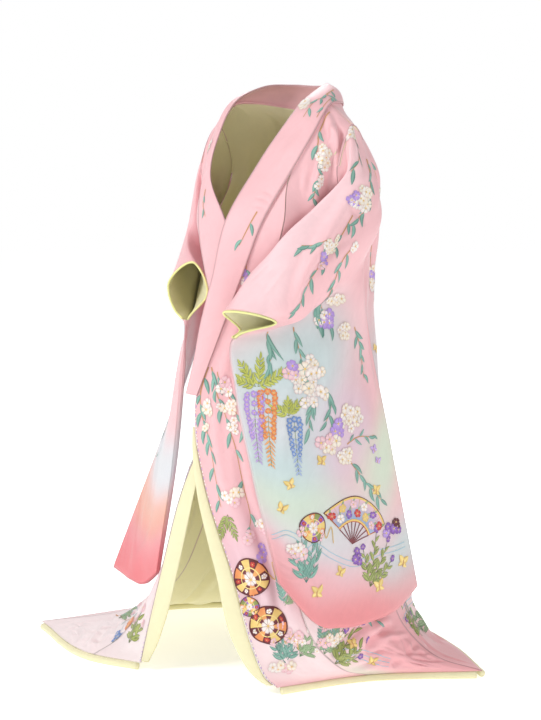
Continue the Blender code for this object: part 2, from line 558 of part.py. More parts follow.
def add_fuki_band(name, edge, reaches, inward, clear, material, collection):
    """Add the padded band along a front edge: a flattened loft that widens down to the floor."""
    heights = np.array([station.height for station in FUKI])[::-1]
    places = np.linspace(FUKI[0].height, FUKI[-1].height, FUKI_ROWS + 1)
    reach = smooth(heights, np.array(reaches)[::-1], places)
    depth = smooth(heights, np.array([station.thickness for station in FUKI])[::-1], places)
    order = np.argsort(edge[:, 2])
    line = np.stack([np.interp(places, edge[order, 2], edge[order, axis]) for axis in range(3)], axis=1)
    inward = np.array(inward) / np.linalg.norm(inward)
    out = np.cross(inward, (0.0, 0.0, 1.0))
    turns = [2 * math.pi * side / FUKI_SIDES for side in range(FUKI_SIDES)]
    points = []
    for place, width, thick in zip(line, reach, depth):
        middle = place + inward * ((width + CLOTH + SEAM_GAP) / 2 + thick * clear)
        for turn in turns:
            points.append(middle + inward * (width / 2) * math.cos(turn) + out * (thick / 2) * math.sin(turn))
    rows = len(line)
    faces = grid_faces(rows, FUKI_SIDES, wrap=True)
    faces += [tuple(range(FUKI_SIDES))[::-1], tuple(range((rows - 1) * FUKI_SIDES, rows * FUKI_SIDES))]
    cloth_object(name, points, faces, material, collection, wall=0.0)


def hem_line(grid):
    """Return the run of a panel's hem, set out past the cloth and down on the floor."""
    out = grid[-1] - grid[-2]
    out[:, 2] = 0.0
    out = out / np.maximum(np.linalg.norm(out, axis=1, keepdims=True), 1e-9)
    line = grid[-1] + out * HEM_ROLL_OUT
    line[:, 2] = HEM_ROLL + FLOOR_GAP
    return line


def hem_run(first, second):
    """Join the hems of two panels into one smooth run, short of the corners at its ends."""
    joined = np.concatenate((first[:-1], second[1:]))
    joined = joined[np.r_[0:len(joined) - 2:2, len(joined) - 1]]
    knots = chord_knots(joined)
    return smooth(knots, joined, np.linspace(HEM_ROLL, knots[-1] - HEM_ROLL, len(joined)))


def build():
    """Build every piece of the kimono."""
    clear_scene()
    collection = bpy.data.collections.new("uchikake")
    bpy.context.scene.collection.children.link(collection)
    silk = make_material("silk", SILK)
    sleeve_silk = make_material("sleeve_silk", SLEEVE_SILK)
    lining = make_material("lining", LINING)

    outward = {"front_left": 1.0, "okumi_left": 1.0, "back_left": -1.0,
               "front_right": -1.0, "okumi_right": -1.0, "back_right": 1.0}
    grids = {}
    for name, side in outward.items():
        flat = okumi_panel(name) if name.startswith("okumi") else body_panel(name)
        grids[name] = fold_cloth(flat, FOLDS[name], side)
    grids = fit_seams(grids)
    for side, stations, faces_out in (("left", SLEEVE_LEFT, LEFT_FACES), ("right", SLEEVE_RIGHT, RIGHT_FACES)):
        rings = sleeve_rings(stations, *faces_out)
        for part in ("front_", "back_"):
            grids[part + side] = meet_sleeve(grids[part + side], rings)
    for name, grid in grids.items():
        add_panel(name, grid, silk, collection, flip=outward[name] > 0)

    for name, stations, side in (("collar_left", COLLAR_LEFT, -1.0), ("collar_right", COLLAR_RIGHT, 1.0)):
        band = draw_in(crown(collar_grid(stations), stations, side), (0.0, 0.0), CREASE_GAP / 2)
        add_panel(name, band, silk, collection, flip=side > 0, wall=COLLAR_CLOTH)

    for name, stations, faces_out, flip in (
            ("left", SLEEVE_LEFT, LEFT_FACES, True), ("right", SLEEVE_RIGHT, RIGHT_FACES, False)):
        rings = add_sleeve("sleeve_" + name, stations, faces_out, sleeve_silk, collection, flip)
        round_arm = slice(BAG_CELLS + 1, -BAG_CELLS - 1)
        mouth = rings[-1][round_arm]
        around = np.gradient(mouth, axis=0)
        around = around / np.linalg.norm(around, axis=1, keepdims=True)
        ahead = mouth - rings[-2][round_arm]
        ahead = ahead - around * np.sum(ahead * around, axis=1, keepdims=True)
        ahead = ahead / np.linalg.norm(ahead, axis=1, keepdims=True)
        roll = mouth + ahead * (CUFF_ROLL + SEAM_GAP)
        add_roll("cuff_" + name, roll, CUFF_ROLL, lining, collection)

    left_reaches = [station.reach_left for station in FUKI]
    right_reaches = [station.reach_right for station in FUKI]
    add_fuki_band("fuki_front_left", grids["okumi_left"][:, 0], left_reaches, (-0.80, -0.20, 0.0),
                  FUKI_CLEAR[0], lining, collection)
    add_fuki_band("fuki_front_right", grids["okumi_right"][:, 0], right_reaches, (0.90, -0.10, 0.0),
                  FUKI_CLEAR[1], lining, collection)
    left_hem = hem_run(hem_line(grids["okumi_left"]), hem_line(grids["front_left"]))
    right_hem = hem_run(hem_line(grids["okumi_right"]), hem_line(grids["front_right"]))
    back_hem = hem_run(hem_line(grids["back_left"])[::-1], hem_line(grids["back_right"]))
    for name, line in (("left", left_hem), ("right", right_hem), ("back", back_hem)):
        add_roll("fuki_hem_" + name, line, HEM_ROLL, lining, collection)


build()
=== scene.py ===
"""Uchikake, the trailing outer kimono of a wedding dress: its silk, lining, dyeing and embroidery.

Every panel is a thin shell on the form of its solid, at a finer grid and with its own creases.
The wearer faces -Y and the wearer's left is +X. Tables give heights above the floor; the origin is
the shoulder rest. Places on a piece are in thousandths, across and down.
"""
import logging
import math
from dataclasses import dataclass
from enum import Enum

import bpy
import numpy as np
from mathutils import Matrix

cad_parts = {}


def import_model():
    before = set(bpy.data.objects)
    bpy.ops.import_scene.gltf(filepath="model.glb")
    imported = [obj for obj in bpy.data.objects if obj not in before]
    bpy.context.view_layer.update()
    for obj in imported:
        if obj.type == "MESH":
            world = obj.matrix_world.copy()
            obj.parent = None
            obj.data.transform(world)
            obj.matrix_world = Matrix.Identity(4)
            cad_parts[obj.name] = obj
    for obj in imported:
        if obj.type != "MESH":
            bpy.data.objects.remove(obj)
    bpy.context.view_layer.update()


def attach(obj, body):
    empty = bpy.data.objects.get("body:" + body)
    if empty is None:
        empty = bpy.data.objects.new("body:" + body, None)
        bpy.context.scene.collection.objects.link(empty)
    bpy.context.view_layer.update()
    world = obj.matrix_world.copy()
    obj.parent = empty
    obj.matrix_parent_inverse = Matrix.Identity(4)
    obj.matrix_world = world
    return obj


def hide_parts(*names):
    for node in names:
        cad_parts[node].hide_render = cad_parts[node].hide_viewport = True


LOG = logging.getLogger("uchikake")

Place = tuple[float, float, float]
Plan = tuple[float, float]
Grid = np.ndarray
Faces = list[tuple[int, ...]]
Rows = tuple[tuple, ...]

MM = 0.001
UP = (0.0, 0.0, 1.0)
SHOULDER_REST = 1.335        # height of the origin above the floor
CLOTH = 0.0024               # wall of silk, wadding and lining
COLLAR_CLOTH = 0.0030
LAYERS_APART = 0.0042        # least distance between a sleeve's two layers
SEAM_PAINTED_SHADE = 0.68            # painted shade: how much darker a seam's colour is painted, for the shadow in its gap
SEAM_GAP = 0.0004
CREASE_GAP = 0.0012
STEEPEST_SEAM = 2.2
COLLAR_LAP = 0.0031
COLLAR_COVER = 0.0030
COLLAR_BOUND = 150           # rows of the collar that its inner roll runs along
BAG_PLAY = 0.0058
CUFF_ROLL = 0.0026
HEM_ROLL = 0.0085
HEM_ROLL_OUT = 0.0030
HEM_STEP = 0.006
FLOOR_GAP = 0.0002
HEM_HEIGHT = 0.0177
RIGHT_SHOULDER = 0.95
NECK_TURN = 0.08
NECK_SHARE = 9 / 13          # of a back panel's top row, the share that lies under the collar
NECK_LAP = 0.0020
NAPE_GAP = -0.0004
NECK_TUCK = 0.0035           # how far the back reaches up under the collar
NARROW_COLLAR = 0.06
COLLAR_EDGE_PULL = 0.7
BAG_CLOSE = 0.7
FOLD_BLUNTNESS = 0.7
OKUMI_TIP = (-0.010, -0.006, -0.012)
ALLOWANCE = 0.0019           # half the breadth of a seam's turned-in edges
TUCK = 0.0030                # how far inside the cloth they lie

ARMHOLE_PULL = 1.6           # how much more an armhole stays back than a flat seam
ARMHOLE_SHARE = 0.15         # of a panel's breadth, the share that follows its armhole
EDGE_FADE = 14               # creases fade out over one such part of a piece's breadth
CREASE_SHOULDER = 0.35       # the low wave on both sides of a crease, as a share of it
DEEPEST_TROUGH = 0.3         # of the room between a sleeve's two layers

ROWS_BETWEEN = (3, 2, 3, 2, 2, 2, 1, 2, 2, 3, 3, 2, 2)
FINER_ROWS = 10              # rows of the visible cloth to each row of its solid
TIP_ROW = sum(ROWS_BETWEEN[:2]) * FINER_ROWS
UNDERARM_ROW = sum(ROWS_BETWEEN[:3]) * FINER_ROWS
CELLS = {"front": 64, "okumi": 32, "back": 91}
COLLAR_CELLS, COLLAR_ROWS = 16, 210
BAG_CELLS, ARM_CELLS, SLEEVE_ROWS = 96, 120, 120
FUKI_SIDES, FUKI_ROWS = 20, 130


@dataclass(frozen=True)
class Section:
    """The body's plan at one height: nine seams, from the left edge round the back to the right."""

    name: str
    height: float
    plan: tuple[Plan, ...]
    press: float
    corner: float


@dataclass(frozen=True)
class Yoke:
    """One level above the armpits, on the wearer's left."""

    name: str
    neck_front: Place
    armhole_front: Place
    armhole_back: Place
    back_mid: Place
    centre_back: Place


@dataclass(frozen=True)
class CollarStation:
    """One place along the collar band: its seam, its free edge and how round it stands."""

    name: str
    seam: Place
    free: Place
    crown: float


@dataclass(frozen=True)
class SleeveStation:
    """One ring of a sleeve: top, outer, under and inner round the arm, then the bag down to its foot."""

    name: str
    arm: tuple[Place, ...]
    bag: tuple[Place, ...]


@dataclass(frozen=True)
class Fold:
    """One large fold of a panel, as in its solid: places across and down are shares of the panel."""

    across_top: float
    across_bottom: float
    start: float
    end: float
    width: float
    height: float


@dataclass(frozen=True)
class FukiStation:
    """The padded front band at one height: its reach past the silk on each side and its depth."""

    height: float
    reach_left: float
    reach_right: float
    thickness: float


# name, height, then the seams in plan from the left edge round the back to the right edge,
# then how far the fronts are pressed flat and how sharp the side seams are.
SECTIONS = (
    Section("sash", 1.085,
            ((0.098, -0.15), (0.142, -0.128), (0.194, 0.02), (0.15, 0.21), (0.0, 0.255),
             (-0.15, 0.21), (-0.187, 0.02), (-0.135, -0.112), (-0.1, -0.14)),
            1.25, 0.0),
    Section("waist", 0.96,
            ((0.066, -0.186), (0.118, -0.15), (0.186, 0.028), (0.148, 0.195), (0.0, 0.238),
             (-0.148, 0.195), (-0.182, 0.028), (-0.098, -0.112), (-0.055, -0.165)),
            1.25, 0.0),
    Section("hands", 0.86,
            ((0.03, -0.202), (0.094, -0.166), (0.186, 0.033), (0.148, 0.19), (0.0, 0.23),
             (-0.148, 0.19), (-0.184, 0.035), (-0.076, -0.114), (-0.01, -0.178)),
            1.1, 0.0),
    Section("belly", 0.77,
            ((-0.01, -0.208), (0.096, -0.172), (0.192, 0.037), (0.15, 0.194), (0.0, 0.232),
             (-0.15, 0.194), (-0.194, 0.042), (-0.08, -0.126), (0.015, -0.18)),
            0.9, 0.0),
    Section("hip", 0.685,
            ((-0.048, -0.212), (0.098, -0.178), (0.204, 0.04), (0.152, 0.198), (0.0, 0.238),
             (-0.152, 0.198), (-0.206, 0.047), (-0.092, -0.134), (0.0, -0.182)),
            0.6, 0.0),
    Section("thigh", 0.585,
            ((-0.05, -0.212), (0.102, -0.182), (0.218, 0.048), (0.158, 0.208), (0.0, 0.248),
             (-0.158, 0.206), (-0.22, 0.053), (-0.106, -0.136), (-0.046, -0.192)),
            0.4, 0.0),
    Section("knee", 0.48,
            ((-0.026, -0.211), (0.11, -0.18), (0.232, 0.06), (0.163, 0.22), (0.0, 0.262),
             (-0.165, 0.217), (-0.242, 0.06), (-0.138, -0.134), (-0.09, -0.206)),
            0.3, 0.0),
    Section("shin", 0.27,
            ((0.058, -0.207), (0.178, -0.142), (0.266, 0.096), (0.18, 0.25), (0.004, 0.298),
             (-0.19, 0.248), (-0.3, 0.07), (-0.205, -0.132), (-0.161, -0.21)),
            0.2, 0.1),
    Section("ankle", 0.12,
            ((0.106, -0.2), (0.212, -0.098), (0.292, 0.142), (0.2, 0.285), (0.01, 0.345),
             (-0.225, 0.268), (-0.382, 0.04), (-0.285, -0.156), (-0.205, -0.213)),
            0.0, 0.4),
    Section("instep", 0.05,
            ((0.13, -0.185), (0.234, -0.03), (0.35, 0.186), (0.228, 0.322), (0.015, 0.405),
             (-0.32, 0.268), (-0.485, -0.015), (-0.33, -0.188), (-0.222, -0.216)),
            0.0, 0.8),
    Section("hem", HEM_HEIGHT,
            ((0.15, -0.162), (0.252, 0.05), (0.445, 0.245), (0.272, 0.372), (0.015, 0.478),
             (-0.47, 0.245), (-0.66, -0.148), (-0.352, -0.256), (-0.218, -0.23)),
            0.0, 1.0),
)

YOKE = (
    Yoke("shoulder", (0.15, 0.03, 1.345), (0.206, 0.035, 1.3), (0.206, 0.035, 1.3),
         (0.15, 0.03, 1.345), (0.0, 0.18, 1.325)),
    Yoke("collarbone", (0.15, -0.042, 1.27), (0.2106, -0.005, 1.245), (0.2133, 0.078, 1.25),
         (0.15, 0.115, 1.3), (0.0, 0.205, 1.268)),
    Yoke("chest", (0.132, -0.09, 1.195), (0.2062, -0.014, 1.185), (0.2108, 0.085, 1.185),
         (0.147, 0.19, 1.205), (0.0, 0.243, 1.19)),
)

COLLAR_LEFT = (
    CollarStation("nape", (0.0, 0.18, 1.327), (0.0, 0.163, 1.392), 0.008),
    CollarStation("back neck", (0.082, 0.146, 1.34), (0.05, 0.14, 1.394), 0.01),
    CollarStation("side neck", (0.133, 0.088, 1.35), (0.08, 0.085, 1.388), 0.012),
    CollarStation("shoulder", (0.15, 0.03, 1.347), (0.085, 0.015, 1.355), 0.008),
    CollarStation("collarbone", (0.15, -0.042, 1.272), (0.058, -0.058, 1.268), 0.004),
    CollarStation("chest", (0.132, -0.09, 1.197), (0.038, -0.104, 1.2), 0.004),
    CollarStation("sash", (0.098, -0.15, 1.087), (0.015, -0.18, 1.085), 0.004),
    CollarStation("waist", (0.066, -0.186, 0.961), (-0.002, -0.208, 0.955), 0.004),
    CollarStation("hands", (0.03, -0.202, 0.861), (-0.028, -0.217, 0.855), 0.004),
    CollarStation("belly", (-0.01, -0.208, 0.771), (-0.048, -0.219, 0.768), 0.004),
    CollarStation("hip", (-0.048, -0.212, 0.685), (-0.076, -0.215, 0.687), 0.002),
)

COLLAR_RIGHT = (
    CollarStation("nape", (0.0, 0.18, 1.327), (0.0, 0.163, 1.392), 0.008),
    CollarStation("back neck", (-0.079, 0.146, 1.34), (-0.053, 0.138, 1.394), 0.009),
    CollarStation("side neck", (-0.127, 0.088, 1.35), (-0.09, 0.078, 1.388), 0.009),
    CollarStation("shoulder", (-0.1425, 0.03, 1.347), (-0.104, 0.008, 1.36), 0.008),
    CollarStation("collarbone", (-0.1425, -0.042, 1.272), (-0.106, -0.066, 1.268), 0.004),
    CollarStation("chest", (-0.1254, -0.09, 1.197), (-0.092, -0.108, 1.185), 0.004),
    CollarStation("sash", (-0.1, -0.14, 1.087), (0.004, -0.16, 1.075), 0.004),
    CollarStation("waist", (-0.055, -0.165, 0.961), (0.045, -0.172, 0.955), 0.004),
    CollarStation("hands", (-0.01, -0.178, 0.861), (0.062, -0.176, 0.855), 0.004),
    CollarStation("belly", (0.015, -0.18, 0.771), (0.052, -0.178, 0.768), 0.004),
    CollarStation("hip", (0.0, -0.182, 0.685), (0.018, -0.183, 0.685), 0.004),
)

SLEEVE_LEFT = (
    SleeveStation("armhole",
        ((0.2085, 0.035, 1.302), (0.215, 0.092, 1.205), (0.21, 0.0586, 1.1016), (0.2122, -0.0246, 1.2034)),
        ((0.212, 0.0475, 1.0679), (0.2115, 0.0815, 0.8513), (0.266, 0.096, 0.6), (0.32, 0.148, 0.225))),
    SleeveStation("upper arm",
        ((0.2372, -0.0091, 1.2095), (0.2644, 0.0695, 1.0899),
         (0.2345, 0.0392, 0.9787), (0.2222, 0.0022, 1.0629)),
        ((0.2346, 0.0296, 0.9557), (0.2244, 0.0488, 0.819), (0.262, 0.045, 0.59), (0.31, 0.085, 0.182))),
    SleeveStation("elbow",
        ((0.192, -0.075, 1.12), (0.243, -0.052, 1.03), (0.2293, -0.028, 0.9522), (0.1831, -0.0516, 1.0313)),
        ((0.2127, -0.0255, 0.9341), (0.222, -0.028, 0.8), (0.25, -0.03, 0.57), (0.296, 0.0, 0.168))),
    SleeveStation("forearm",
        ((0.15, -0.157, 1.04), (0.215, -0.128, 0.958), (0.21, -0.078, 0.905), (0.136, -0.128, 0.95)),
        ((0.182, -0.095, 0.888), (0.2, -0.102, 0.765), (0.23, -0.11, 0.55), (0.276, -0.08, 0.168))),
    SleeveStation("wrist",
        ((0.116, -0.216, 0.97), (0.184, -0.19, 0.912), (0.192, -0.126, 0.872), (0.108, -0.188, 0.9)),
        ((0.138, -0.168, 0.846), (0.166, -0.184, 0.73), (0.198, -0.186, 0.545), (0.25, -0.15, 0.19))),
    SleeveStation("cuff",
        ((0.085, -0.265, 0.892), (0.156, -0.238, 0.89), (0.1668, -0.1814, 0.8673), (0.0868, -0.211, 0.8434)),
        ((0.0916, -0.2408, 0.8287), (0.108, -0.252, 0.72), (0.153, -0.252, 0.545), (0.208, -0.224, 0.29))),
)

SLEEVE_RIGHT = (
    SleeveStation("armhole",
        ((-0.1985, 0.034, 1.3), (-0.205, 0.092, 1.205), (-0.2025, 0.0573, 1.1009), (-0.202, -0.024, 1.205)),
        ((-0.2056, 0.0482, 1.0714), (-0.2462, 0.0376, 0.8434),
         (-0.305, -0.018, 0.595), (-0.453, -0.082, 0.186))),
    SleeveStation("upper arm",
        ((-0.2174, -0.0175, 1.1889), (-0.2603, 0.0713, 1.0884),
         (-0.2483, 0.043, 0.9758), (-0.2121, 0.0014, 1.0649)),
        ((-0.2366, 0.0268, 0.9548), (-0.254, 0.0059, 0.8032),
         (-0.286, -0.04, 0.59), (-0.402, -0.104, 0.184))),
    SleeveStation("elbow",
        ((-0.222, -0.048, 1.055), (-0.254, -0.01, 0.99),
         (-0.2308, -0.0099, 0.9354), (-0.1818, -0.0387, 0.9856)),
        ((-0.2264, -0.0118, 0.9061), (-0.23, -0.04, 0.8), (-0.258, -0.078, 0.58), (-0.344, -0.13, 0.182))),
    SleeveStation("forearm",
        ((-0.178, -0.104, 1.015), (-0.226, -0.086, 0.952), (-0.204, -0.078, 0.88), (-0.14, -0.086, 0.94)),
        ((-0.182, -0.08, 0.862), (-0.196, -0.1, 0.76), (-0.214, -0.126, 0.57), (-0.282, -0.15, 0.186))),
    SleeveStation("cuff",
        ((-0.12, -0.142, 0.984), (-0.196, -0.146, 0.928),
         (-0.1625, -0.1566, 0.8666), (-0.0823, -0.1362, 0.9139)),
        ((-0.1317, -0.1575, 0.8481), (-0.14, -0.16, 0.73), (-0.15, -0.172, 0.555), (-0.215, -0.172, 0.23))),
)

FOLDS = {
    "front_left": (
        Fold(0.62, 0.45, 0.02, 0.36, 0.13, 0.012),
        Fold(0.86, 0.8, 0.04, 0.3, 0.08, -0.01),
        Fold(0.3, 0.28, 0.35, 0.85, 0.16, 0.01),
        Fold(0.45, 0.72, 0.66, 0.98, 0.09, 0.016),
        Fold(0.75, 0.52, 0.6, 0.96, 0.1, -0.01),
        Fold(0.8, 0.88, 0.82, 1.0, 0.06, 0.009),
    ),
    "okumi_left": (
        Fold(0.45, 0.4, 0.4, 0.9, 0.18, 0.006),
        Fold(0.72, 0.7, 0.45, 0.96, 0.12, -0.008),
    ),
    "front_right": (
        Fold(0.5, 0.4, 0.02, 0.34, 0.15, 0.008),
        Fold(0.35, 0.4, 0.45, 0.95, 0.12, -0.008),
        Fold(0.7, 0.66, 0.72, 0.98, 0.1, 0.01),
    ),
    "okumi_right": (
        Fold(0.5, 0.55, 0.55, 0.96, 0.16, 0.007),
    ),
    "back_left": (
        Fold(0.3, 0.25, 0.4, 0.99, 0.09, 0.012),
        Fold(0.58, 0.6, 0.36, 0.99, 0.1, 0.015),
        Fold(0.82, 0.84, 0.52, 0.97, 0.06, -0.008),
        Fold(0.14, 0.12, 0.74, 1.0, 0.06, 0.012),
    ),
    "back_right": (
        Fold(0.22, 0.2, 0.42, 0.99, 0.1, 0.014),
        Fold(0.5, 0.48, 0.36, 0.98, 0.09, 0.012),
        Fold(0.76, 0.74, 0.7, 0.99, 0.08, 0.016),
        Fold(0.36, 0.34, 0.6, 0.97, 0.06, -0.008),
    ),
}

FUKI = (
    FukiStation(0.61, 0.006, 0.006, 0.004),
    FukiStation(0.48, 0.022, 0.038, 0.007),
    FukiStation(0.27, 0.042, 0.054, 0.01),
    FukiStation(0.12, 0.046, 0.052, 0.013),
    FukiStation(0.06, 0.034, 0.04, 0.014),
    FukiStation(0.024, 0.02, 0.024, 0.014),
)

COLLARS = {"left": COLLAR_LEFT, "right": COLLAR_RIGHT}
# Each sleeve's table and which way its outer layer faces, high up and at its foot.
SLEEVES = {"left": (SLEEVE_LEFT, (0.93, -0.36, 0.0), (0.93, -0.36, 0.0)),
           "right": (SLEEVE_RIGHT, (-0.86, -0.51, 0.0), (-0.35, -0.94, 0.0))}


def chord_knots(points: Grid) -> np.ndarray:
    """Return each point's distance along the run of points."""
    steps = np.linalg.norm(np.diff(np.asarray(points, float), axis=0), axis=1)
    return np.concatenate(([0.0], np.cumsum(steps)))


def smooth(knots: np.ndarray, values: Grid, at: np.ndarray, start: Grid | None = None) -> Grid:
    """Pass a smooth curve through values at knots and read it at the places asked for.

    Args:
        knots: where the values lie.
        values: the values, along the first axis.
        at: the places to read.
        start: the slope at the first knot, where it is known.

    Returns:
        The curve's values at those places.
    """
    knots = np.asarray(knots, float)
    values = np.asarray(values, float)
    shape = (-1,) + (1,) * (values.ndim - 1)
    steps = np.diff(knots).reshape(shape)
    rises = np.diff(values, axis=0) / steps
    slopes = np.empty_like(values)
    slopes[1:-1] = (rises[:-1] * steps[1:] + rises[1:] * steps[:-1]) / (steps[:-1] + steps[1:])
    slopes[0] = rises[0] if start is None else start
    slopes[-1] = rises[-1]
    at = np.clip(np.asarray(at, float), knots[0], knots[-1])
    span = np.clip(np.searchsorted(knots, at, side="right") - 1, 0, len(knots) - 2)
    width = (knots[span + 1] - knots[span]).reshape(shape)
    t = (at - knots[span]).reshape(shape) / width
    return ((2 * t**3 - 3 * t**2 + 1) * values[span] + (t**3 - 2 * t**2 + t) * width * slopes[span]
            + (3 * t**2 - 2 * t**3) * values[span + 1] + (t**3 - t**2) * width * slopes[span + 1])


def stretch_of(points: Grid, first: int, last: int, count: int) -> Grid:
    """Return count + 1 points of the smooth curve through points, from the first to the last named."""
    knots = chord_knots(points)
    return smooth(knots, points, np.linspace(knots[first], knots[last], count + 1))


def unit(vectors: Grid) -> Grid:
    """Return vectors of length one along the last axis."""
    return vectors / np.maximum(np.linalg.norm(vectors, axis=-1, keepdims=True), 1e-9)


def across_line(line: Grid, up: Grid) -> Grid:
    """Return the unit direction across a line at each of its points."""
    return unit(np.cross(unit(np.gradient(line, axis=0)), up))


def grid_normals(grid: Grid) -> Grid:
    """Return the unit normal at each point of a grid."""
    return unit(np.cross(np.gradient(grid, axis=0), np.gradient(grid, axis=1)))


def grid_faces(rows: int, columns: int, flip: bool, wrap: bool = False) -> Faces:
    """Return the quads of a grid.

    Args:
        rows: points down the grid.
        columns: points across it.
        flip: whether to turn the faces over.
        wrap: whether the columns close into a ring.

    Returns:
        The quads, as indices of points.
    """
    faces = []
    for row in range(0, (rows - 1) * columns, columns):
        for column in range(columns if wrap else columns - 1):
            after = (column + 1) % columns
            quad = (row + column, row + after, row + columns + after, row + columns + column)
            faces.append(quad[::-1] if flip else quad)
    return faces


def between(values: Grid, at: Grid) -> Grid:
    """Read a grid's values at places between its points, each given as (column, row).

    Args:
        values: the grid's values.
        at: the places.

    Returns:
        The values there.
    """
    left, top = np.minimum(at.astype(int), np.array(values.shape[1::-1]) - 2).T
    across, down = (at - np.stack((left, top), axis=1)).T[..., None]
    return ((values[top, left] * (1 - across) + values[top, left + 1] * across) * (1 - down)
            + (values[top + 1, left] * (1 - across) + values[top + 1, left + 1] * across) * down)


def linear(colour: Place | Grid) -> np.ndarray:
    """Return colours mixed from 0 to 255 as linear light."""
    mixed = np.asarray(colour) / 255.0
    return np.where(mixed <= 0.04045, mixed / 12.92, ((mixed + 0.055) / 1.055) ** 2.4)


class ClothSurface:
    """A piece of cloth as a grid of points, with its flat measure, creases and colouring, dyed and with
    painted light.
    """

    def __init__(self, name: str, grid: Grid, outward: float, wrap: bool = False) -> None:
        """Measure the cloth flat, then crease it.

        Args:
            name: the piece that it belongs to.
            grid: rows of points.
            outward: 1 or -1, the side of its normals that shows.
            wrap: whether the columns close into a ring.
        """
        self.name = name
        self.grid = grid
        self.outward = outward
        self.wrap = wrap
        self.wall = COLLAR_CLOTH if name.startswith("collar") else CLOTH
        self.cells = np.array(grid.shape[1::-1]) - 1
        across = np.linalg.norm(np.diff(grid, axis=1), axis=2)
        down = np.linalg.norm(np.diff(grid, axis=0), axis=2)
        across = np.pad(np.cumsum(across, axis=1), ((0, 0), (1, 0)))
        down = np.pad(np.cumsum(down, axis=0), ((1, 0), (0, 0)))
        self.flat = np.stack((across - across[:, -1:] / 2, down), axis=2)
        self.crease(CREASES.get(name, ()))

    def crease(self, creases: Rows) -> None:
        """Press soft troughs (depth below 0) and ridges (above 0) into the cloth.

        Args:
            creases: rows of CREASES.
        """
        lift = np.zeros(self.grid.shape[:2])
        for *ends, width, depth, bow in creases:
            begin, finish = between(self.flat, np.reshape(ends, (2, 2)) / 1000 * self.cells)
            run = finish - begin
            length = np.linalg.norm(run)
            away = self.flat - begin
            along = away @ run / length**2
            window = np.sin(math.pi * np.clip(along, 0.0, 1.0)) ** 0.8
            off = away @ (-run[1], run[0]) / length - bow / 100 * length * 4 * along * (1 - along)
            breadth = width * MM / 10 * (0.65 + 0.35 * window)
            near = np.exp(-(off / breadth) ** 2)
            shoulder = CREASE_SHOULDER * np.exp(-((np.abs(off) - 1.9 * breadth) / breadth) ** 2)
            lift += depth * MM / 10 * window * (near - shoulder)
        if self.wrap:
            room = np.linalg.norm(self.grid - self.grid[:, ::-1], axis=2)
            lift = np.maximum(lift, -DEEPEST_TROUGH * np.maximum(room - 2 * CLOTH, 0.0))
        else:
            share = np.linspace(0.0, 1.0, self.grid.shape[1])[None, :]
            lift *= np.clip(np.minimum(share, 1 - share) * EDGE_FADE, 0.0, 1.0)
        self.grid = self.grid + grid_normals(self.grid) * (lift * self.outward)[..., None]

    def dye(self, ground: Place, clouds: Rows = ()) -> Grid:
        """Return the cloth's colour at each point: a ground with soft clouds over it, dyed shading and
        painted highlights.

        Args:
            ground: the ground colour, mixed from 0 to 255.
            clouds: the piece's rows of clouds, dyed shading and painted light alike, first one first.

        Returns:
            Linear colours, one for each point of the grid.
        """
        rows, columns = self.grid.shape[:2]
        across, down = np.meshgrid(np.linspace(0.0, 1000.0, columns), np.linspace(0.0, 1000.0, rows))
        colour = np.tile(linear(ground), (rows, columns, 1))
        for x, y, reach_across, reach_down, brushed, strength in clouds:
            apart = ((across - x) / reach_across) ** 2 + ((down - y) / reach_down) ** 2
            cover = (strength / 100 * np.exp(-apart**1.5))[..., None]
            colour = colour * (1 - cover) + linear(brushed) * cover
        return colour


